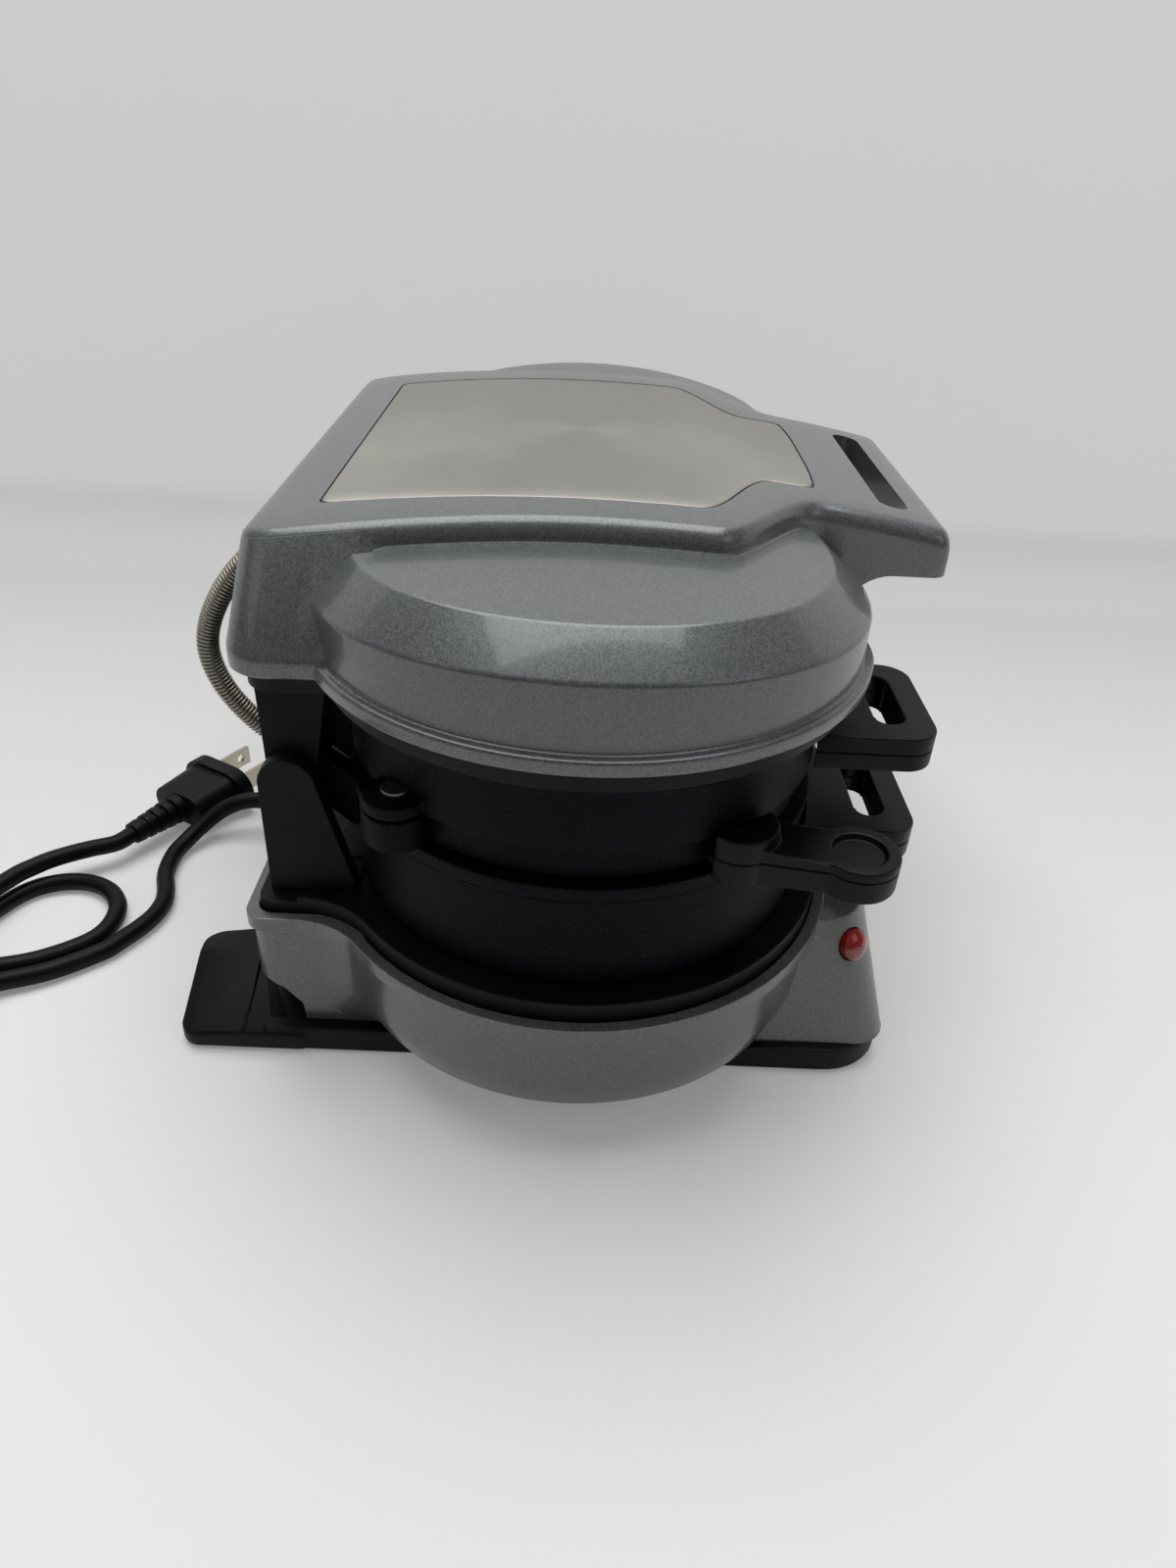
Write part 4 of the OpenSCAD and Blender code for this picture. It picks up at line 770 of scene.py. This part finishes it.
def cord_route():
    """The lead from its gland through the hank to the plug, in metres."""
    per_turn = 24
    hank = [hank_point(k / per_turn) for k in range(int(HANK_TURNS * per_turn) + 1)]
    points = [Vector(p) for p in LEAD_START] + [hank[0] - 6 * HANK_U] + hank
    points += [hank[-1] - 5.2 * HANK_U] + [Vector(p) for p in TAIL]
    points += [PLUG_START - 6 * PLUG_DIR, PLUG_START]
    return smooth_line(place(points), 1.6 * MM)


def line_tree(name, result, numbers):
    """A tree that makes a shape from a line, numbers and a finish, and the sockets of what it is given."""
    tree = bpy.data.node_groups.new(name, "GeometryNodeTree")
    face = tree.interface
    face.new_socket("Line", in_out="INPUT", socket_type="NodeSocketGeometry")
    for key, value in numbers.items():
        kind = "NodeSocketInt" if isinstance(value, int) else "NodeSocketFloat"
        face.new_socket(key, in_out="INPUT", socket_type=kind).default_value = value
    face.new_socket("Finish", in_out="INPUT", socket_type="NodeSocketMaterial")
    face.new_socket(result, in_out="OUTPUT", socket_type="NodeSocketGeometry")
    return tree, add(tree, "NodeGroupInput", out=None)


def tube_tree():
    """A round tube with closed ends along a line."""
    tree, given = line_tree("tube_along_a_line", "Tube", {"Radius": 0.0026, "Sides": 14})
    line = add(tree, "GeometryNodeMeshToCurve", Mesh=given["Line"])
    section = add(tree, "GeometryNodeCurvePrimitiveCircle", Resolution=given["Sides"],
                  Radius=given["Radius"])
    tube = add(tree, "GeometryNodeCurveToMesh", Curve=line, Profile_Curve=section, Fill_Caps=True)
    real = add(tree, "GeometryNodeRealizeInstances", Geometry=tube)
    done = add(tree, "GeometryNodeSetMaterial", Geometry=real, Material=given["Finish"])
    add(tree, "NodeGroupOutput", out=None, Tube=done)
    return tree


def sweep(name, line, radius, sides):
    """A round tube along a line, closed at its ends."""
    return grown(tube_tree(), line_mesh(line), name, Radius=radius, Sides=sides,
                 Finish=MATERIALS["cord_sheath"])


class SandwichCord(bpy.types.PropertyGroup):
    """Size of the mains lead"""
    diameter: length_property("Lead diameter", "Diameter of the mains lead", 0.0052, 0.0048, 0.0054)


class SANDWICH_OT_cord(bpy.types.Operator):
    """Makes the mains lead with its hank, gland and plug"""
    bl_idname = "sandwich.cord"
    bl_label = "Mains lead"

    def execute(self, context):
        radius = context.scene.sandwich_cord.diameter / 2
        line = cord_route()
        lead = piece("mains_lead_sheath", sweep("mains_lead_sheath", line, radius, 14), "cord_sheath",
                     "base", "mains_lead", "cord_hank", "plug_tail", angle=70)
        plug = finished("plug_body", 0.2, 40)
        blades = finished("plug_blades", 0.2, 40)
        tie = finished("cord_tie", 0.3, 40)
        finished("cord_gland", 0.3, 40)
        return {"FINISHED"}


# --------------- conduit


def ring_row_tree():
    """Rings strung along a line, each square to it: the turns of a wound jacket."""
    tree, given = line_tree("rings_along_a_line", "Rings",
                            {"Pitch": 0.0012, "Turn radius": 0.0027, "Wire radius": 0.0006})
    line = add(tree, "GeometryNodeMeshToCurve", Mesh=given["Line"])
    spaced = add(tree, "GeometryNodeResampleCurve", {"mode": "LENGTH"}, Curve=line, Length=given["Pitch"])
    turn = add(tree, "GeometryNodeCurvePrimitiveCircle", Resolution=20, Radius=given["Turn radius"])
    wire = add(tree, "GeometryNodeCurvePrimitiveCircle", Resolution=6, Radius=given["Wire radius"])
    ring = add(tree, "GeometryNodeCurveToMesh", Curve=turn, Profile_Curve=wire)
    facing = add(tree, "FunctionNodeAlignRotationToVector", {"axis": "Z"},
                 Vector=add(tree, "GeometryNodeInputTangent"))
    strung = add(tree, "GeometryNodeInstanceOnPoints", Points=spaced, Instance=ring, Rotation=facing)
    real = add(tree, "GeometryNodeRealizeInstances", Geometry=strung)
    smooth = add(tree, "GeometryNodeSetShadeSmooth", Geometry=real)
    done = add(tree, "GeometryNodeSetMaterial", Geometry=smooth, Material=given["Finish"])
    add(tree, "NodeGroupOutput", out=None, Rings=done)
    return tree


def grown(tree, source, name, **values):
    """The mesh that a tree makes from a source mesh; inputs are set by their sockets' identifiers."""
    carrier = linked("tree_work", source)
    modifier = carrier.modifiers.new("tree", "NODES")
    modifier.node_group = tree
    ids = {s.name: s.identifier for s in tree.interface.items_tree if s.in_out == "INPUT"}
    for key, value in values.items():
        modifier[ids[key.replace("_", " ")]] = value
    return applied(carrier, name)


def line_mesh(points):
    """A mesh of edges through the points."""
    mesh = bpy.data.meshes.new("line")
    mesh.from_pydata(points, [(k, k + 1) for k in range(len(points) - 1)], [])
    return mesh


def bow(a, b, c, d, count=24):
    """Points of a smooth bow from a to d, drawn towards b and c."""
    shares = [k / count for k in range(count + 1)]
    return [(1 - t) ** 3 * a + 3 * (1 - t) ** 2 * t * b + 3 * (1 - t) * t * t * c + t ** 3 * d
            for t in shares]


def conduit_line():
    """The conduit's middle line, from the low bushing to the high one, in metres."""
    start, middle, end = (Vector(p) for p in ((0, 77.2, 31), (0, 110.7, 65.6), (0, COVER_REAR, FLANGE_Z)))
    line = bow(start, start + Vector((0, 15, 0)), middle - Vector((0, 0, 17)), middle)
    line += bow(middle, middle + Vector((0, 0, 15)), end + Vector((0, 16, 0)), end)[1:]
    return place(line)


class SandwichConduit(bpy.types.PropertyGroup):
    """Sizes of the conduit's jacket"""
    pitch: length_property("Pitch", "Distance between the turns of the jacket", 0.00115, 0.0008, 0.0025)
    wire: length_property("Wire", "Thickness of the jacket's wire", 0.0011, 0.0008, 0.0013)


class SANDWICH_OT_conduit(bpy.types.Operator):
    """Makes the conduit between base and cover: its core, its wound jacket and its bushings"""
    bl_idname = "sandwich.conduit"
    bl_label = "Conduit"

    def execute(self, context):
        sizes = context.scene.sandwich_conduit
        jacket_r, liner_r = 3.3 * MM, 2.35 * MM
        line = conduit_line()
        rings = grown(ring_row_tree(), line_mesh(line), "conduit_rings", Pitch=sizes.pitch,
                      Turn_radius=jacket_r - sizes.wire / 2, Wire_radius=sizes.wire / 2,
                      Finish=MATERIALS["jacket_steel"])
        jacket = piece("conduit_rings", rings, "jacket_steel", None, "conduit_jacket", angle=80)
        liner = sweep("conduit_liner", smooth_line(line, 1.5 * MM), liner_r, 12)
        core = piece("conduit_liner", liner, "cord_sheath", None, "conduit_core", angle=70)
        for obj in (jacket, core):
            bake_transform(obj)
        finished("conduit_gland_low", 0.3, 40)
        finished("conduit_gland_high", 0.3, 40)
        return {"FINISHED"}


# ----------- other parts


def corner_fillets(name, radius, levels):
    """Solids that round the hollow corners between the lobes and the rear block of the base.

    A level is a height with the lobes' radius and the block's half width there.
    """
    made = []
    for _, side in SIDES:
        rings = []
        for z, lobe_r, half in levels:
            x, reach = half + radius, lobe_r + radius
            y = math.sqrt(reach ** 2 - (x - LOBE_X) ** 2)
            end = math.atan2(-y, LOBE_X - x) + 2 * math.pi
            arc = [math.pi + (end - math.pi) * k / 10 for k in range(11)]
            points = [(x + radius * math.cos(a), y + radius * math.sin(a)) for a in arc]
            # The solid reaches 2 mm into lobe and block
            points.append((x + (radius + 2) * math.cos(end), y + (radius + 2) * math.sin(end)))
            points += [(half - 2, math.sqrt(lobe_r ** 2 - (half - LOBE_X) ** 2) - 4), (half - 2, y)]
            rings.append(place([(side * u, v, z) for u, v in points]))
        made.append(skin(name, rings))
    return made


class SANDWICH_OT_base(bpy.types.Operator):
    """Makes the base: housing, skirt, feet, decks, screws and what they hold"""
    bl_idname = "sandwich.base"
    bl_label = "Base"

    def execute(self, context):
        low, rim = HOUSING_Z, RIM_Z
        band, top = rim - 4, rim + 4.5
        wall_r, deck_r = 20, 23
        wall = corner_fillets("wall_fillet", wall_r, [
            (low + 0.3, 50.5, 90), (low + 1.4, 54.6, 90.5), (low + 5.5, 58.6, 90.5), (low + 13, 61, 90.5),
            (band + 0.1, 62, 90.5)])
        wall += corner_fillets("band_fillet", wall_r, [
            (band, RIM_R, 92), (rim - 0.35, RIM_R, 92), (rim - 0.1, 63.5, 91.9), (rim + 0.02, 63.2, 91.6)])
        finished("base_housing", 0.35, 36, joined=wall)
        finished("base_skirt", 0.8, 36)
        deck = corner_fillets("deck_fillet", deck_r, [
            (rim + 0.05, 60.5, 89), (top - 0.5, 60.5, 89), (top - 0.15, 60.35, 88.85),
            (top + 0.02, 60, 88.5)])
        finished("base_deck", 0.5, 36, joined=deck)
        finished("cover_deck", 0.5, 36)
        for node in ("rubber_feet", "skirt_screws", "cover_screws"):
            finished(node, 0.25, 40)
        return {"FINISHED"}


class SANDWICH_OT_heating(bpy.types.Operator):
    """Makes the heating plates, heaters, thermostats and fuse"""
    bl_idname = "sandwich.heating"
    bl_label = "Heating"

    def execute(self, context):
        for name, _ in SIDES:
            finished(f"bottom_plate_{name}", 0.4, 40)
            finished(f"top_plate_{name}", 0.4, 40)
        for node in ("lower_heaters", "upper_heaters", "thermostats", "thermal_fuse"):
            finished(node)
        return {"FINISHED"}


class SANDWICH_OT_rings(bpy.types.Operator):
    """Makes the stacked rings with their handles and screws"""
    bl_idname = "sandwich.rings"
    bl_label = "Rings"

    def execute(self, context):
        for name, _ in SIDES:
            for level in ("lower", "upper"):
                finished(f"{level}_ring_{name}", 0.5, 36)
                finished(f"{level}_handle_{name}", 0.5, 36, seam=True)
                finished(f"{level}_handle_screws_{name}")
        return {"FINISHED"}


class SANDWICH_OT_plates(bpy.types.Operator):
    """Makes the swing-out cooking plates with their handles and pins"""
    bl_idname = "sandwich.plates"
    bl_label = "Cooking plates"

    def execute(self, context):
        for name, _ in SIDES:
            finished(f"cooking_plate_{name}", 0.5, 36)
            finished(f"plate_handle_{name}", 0.8, 36, seam=True)
            finished(f"plate_pivot_{name}", 0.3, 40)
        return {"FINISHED"}


class SANDWICH_OT_hinge(bpy.types.Operator):
    """Makes the hinge ears, brackets and rod"""
    bl_idname = "sandwich.hinge"
    bl_label = "Hinge"

    def execute(self, context):
        for name, _ in SIDES:
            finished(f"hinge_ear_{name}", 0.5, 36)
            finished(f"cover_bracket_{name}", 0.35, 36)
        finished("hinge_rod", 0.3, 40)
        return {"FINISHED"}


class SANDWICH_OT_front(bpy.types.Operator):
    """Makes the timer, its keys and the two lamps"""
    bl_idname = "sandwich.front"
    bl_label = "Timer and lamps"

    def execute(self, context):
        for node in ("timer_bezel", "display_window", "keypad_mat", "timer_board", "button_minus",
                     "button_plus", "button_start"):
            finished(node, 0.35, 36)
        for node in ("power_lamp", "ready_lamp"):
            finished(node)
        return {"FINISHED"}


# ----------------- stage


# The camera of the photograph: place in millimetres from the middle of the lobes, turn in degrees
CAMERA_AT = (-281.45, 2.57, 204.62)
CAMERA_TURN = (-1.156, 32.67, 3.26)
SENSOR = 36
FOCAL = 1075 / 1600 * SENSOR
# The paper sweep, in metres: bend, distance of the backdrop, its height and the near end
SWEEP_BEND, SWEEP_FAR, SWEEP_HEIGHT, SWEEP_NEAR = 0.03, 0.235, 0.5, -2.6
SWEEP_HALF = 2.5
WORLD_LIGHT = 0.14


class SandwichStage(bpy.types.PropertyGroup):
    """Colour and light of the stage"""
    paper: bpy.props.FloatVectorProperty(name="Paper", description="Colour of the floor and backdrop",
                                         subtype="COLOR", size=4, default=(0.88, 0.88, 0.86, 1.0), min=0.0,
                                         max=1.0)
    key_power: bpy.props.FloatProperty(name="Key lamp", description="Power of the overhead lamp, in watts",
                                       default=14.0, min=1.0, max=40.0, subtype="POWER")


def paper_material(colour):
    """Matt paper: pale where it is seen, directly or in metal, and greyer in the light it throws back."""
    paper, tree, where = blank("matt_white_paper")
    rays = add(tree, "ShaderNodeLightPath", out=None)
    metal = add(tree, "ShaderNodeMath", MAXIMUM, i0=rays["Is Glossy Ray"], i1=rays["Is Transmission Ray"])
    seen = add(tree, "ShaderNodeMath", MAXIMUM, i0=rays["Is Camera Ray"], i1=metal)
    greyer = [0.25 * c for c in colour[:3]] + [1.0]
    tone = add(tree, "ShaderNodeMix", RGBA, 2, Factor=seen, i6=greyer, i7=colour)
    height = add(tree, "ShaderNodeSeparateXYZ", out=2, Vector=where)
    rise = add(tree, "ShaderNodeMapRange", Value=height, From_Max=0.04, To_Min=0.18, To_Max=0.38)
    glow = add(tree, "ShaderNodeMath", MULTIPLY, i0=seen, i1=rise)
    shader = add(tree, "ShaderNodeBsdfPrincipled", Base_Color=tone, Roughness=0.9,
                 Emission_Color=linear("#ffffff"), Emission_Strength=glow)
    # Seen from behind, the backdrop lets a camera through
    behind = add(tree, "ShaderNodeMath", MULTIPLY, i0=rays["Is Camera Ray"],
                 i1=add(tree, "ShaderNodeNewGeometry", out="Backfacing"))
    clear = add(tree, "ShaderNodeBsdfTransparent")
    sheet = add(tree, "ShaderNodeMixShader", i0=behind, i1=shader, i2=clear)
    add(tree, "ShaderNodeOutputMaterial", out=None, Surface=sheet)
    return paper


def lamp(name, power, size, where, aim=(0, 0, 0.05)):
    """An area lamp aimed at the object."""
    data = bpy.data.lights.new(name, "AREA")
    data.energy = power
    data.size = size
    made = linked(name, data)
    made.location = where
    made.rotation_mode = "QUATERNION"
    made.rotation_quaternion = (Vector(aim) - Vector(where)).to_track_quat("-Z", "Y")


class SANDWICH_OT_stage(bpy.types.Operator):
    """Makes the camera, the paper sweep, the lamps and the plain world light"""
    bl_idname = "sandwich.stage"
    bl_label = "Camera and stage"

    def execute(self, context):
        scene = context.scene
        sizes = scene.sandwich_stage
        camera = linked("camera", bpy.data.cameras.new("camera"))
        scene.camera = camera
        camera.data.sensor_width = SENSOR
        camera.data.lens = FOCAL
        camera.data.clip_start = 0.01
        yaw, pitch, roll = (math.radians(a) for a in CAMERA_TURN)
        ahead = Vector((math.cos(yaw) * math.cos(pitch), math.sin(yaw) * math.cos(pitch), -math.sin(pitch)))
        right = ahead.cross(Vector((0, 0, 1))).normalized()
        turn = Matrix((right, right.cross(ahead), -ahead)).transposed().to_4x4()
        roll_turn = Matrix.Rotation(roll, 4, "Z")
        camera.matrix_world = Matrix.Translation(place([CAMERA_AT])[0]) @ turn @ roll_turn
        # The sweep runs away from the camera, along +X, and bends up into the backdrop
        bend, far = SWEEP_BEND, SWEEP_FAR
        rise = [(far - bend + bend * s, bend - bend * c) for c, s in unit_arc(0, 90, 6)]
        profile = [(SWEEP_NEAR, 0), *rise, (far, SWEEP_HEIGHT)]
        mesh = bpy.data.meshes.new("paper_sweep")
        count = len(profile)
        mesh.from_pydata([(x, y, z) for y in (-SWEEP_HALF, SWEEP_HALF) for x, z in profile], [],
                         [(k, k + 1, k + 1 + count, k + count) for k in range(count - 1)])
        mesh.shade_smooth()
        sweep_obj = linked("paper_sweep", mesh)
        mesh.materials.append(paper_material(sizes.paper))
        lamp("overhead_softbox", sizes.key_power, 1.2, (0.3, 0.05, 1.2))
        lamp("front_softbox", 0.6, 0.5, (-0.5, -0.9, 0.7))
        lamp("rear_softbox", 0.4, 0.5, (-0.5, 0.9, 0.8))
        world = scene.world or bpy.data.worlds.new("studio")
        scene.world = world
        world.use_nodes = True
        background = world.node_tree.nodes["Background"]
        background.inputs["Color"].default_value = linear("#ffffff")
        background.inputs["Strength"].default_value = WORLD_LIGHT
        scene.view_settings.view_transform = "Standard"
        return {"FINISHED"}


class SANDWICH_PT_panel(bpy.types.Panel):
    """Lists the pieces of the sandwich maker"""
    bl_label = "Sandwich maker"
    bl_idname = "SANDWICH_PT_panel"
    bl_space_type = "VIEW_3D"
    bl_region_type = "UI"
    bl_category = "Sandwich maker"

    def draw(self, context):
        for group in (getattr(context.scene, name) for name in GROUPS):
            for key in group.__annotations__:
                self.layout.prop(group, key)
        for operator in OPERATORS:
            self.layout.operator(operator.bl_idname)


GROUPS = {"sandwich_cover": SandwichCover, "sandwich_cord": SandwichCord,
          "sandwich_conduit": SandwichConduit, "sandwich_stage": SandwichStage}
OPERATORS = (SANDWICH_OT_stage, SANDWICH_OT_cord, SANDWICH_OT_conduit, SANDWICH_OT_cover,
             SANDWICH_OT_panel, SANDWICH_OT_base, SANDWICH_OT_heating, SANDWICH_OT_rings,
             SANDWICH_OT_plates, SANDWICH_OT_hinge, SANDWICH_OT_front)


def register():
    """Registers the classes and puts each property group on the scene."""
    for cls in (*GROUPS.values(), *OPERATORS, SANDWICH_PT_panel):
        bpy.utils.register_class(cls)
    for name, cls in GROUPS.items():
        setattr(bpy.types.Scene, name, bpy.props.PointerProperty(type=cls))


def unregister():
    """Takes off what register puts on."""
    for name in GROUPS:
        delattr(bpy.types.Scene, name)
    for cls in (SANDWICH_PT_panel, *reversed(OPERATORS), *GROUPS.values()):
        bpy.utils.unregister_class(cls)


def main():
    """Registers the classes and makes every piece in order."""
    register()
    make_materials()
    for operator in OPERATORS:
        group, name = operator.bl_idname.split(".")
        getattr(getattr(bpy.ops, group), name)()


if __name__ == "__main__":
    main()
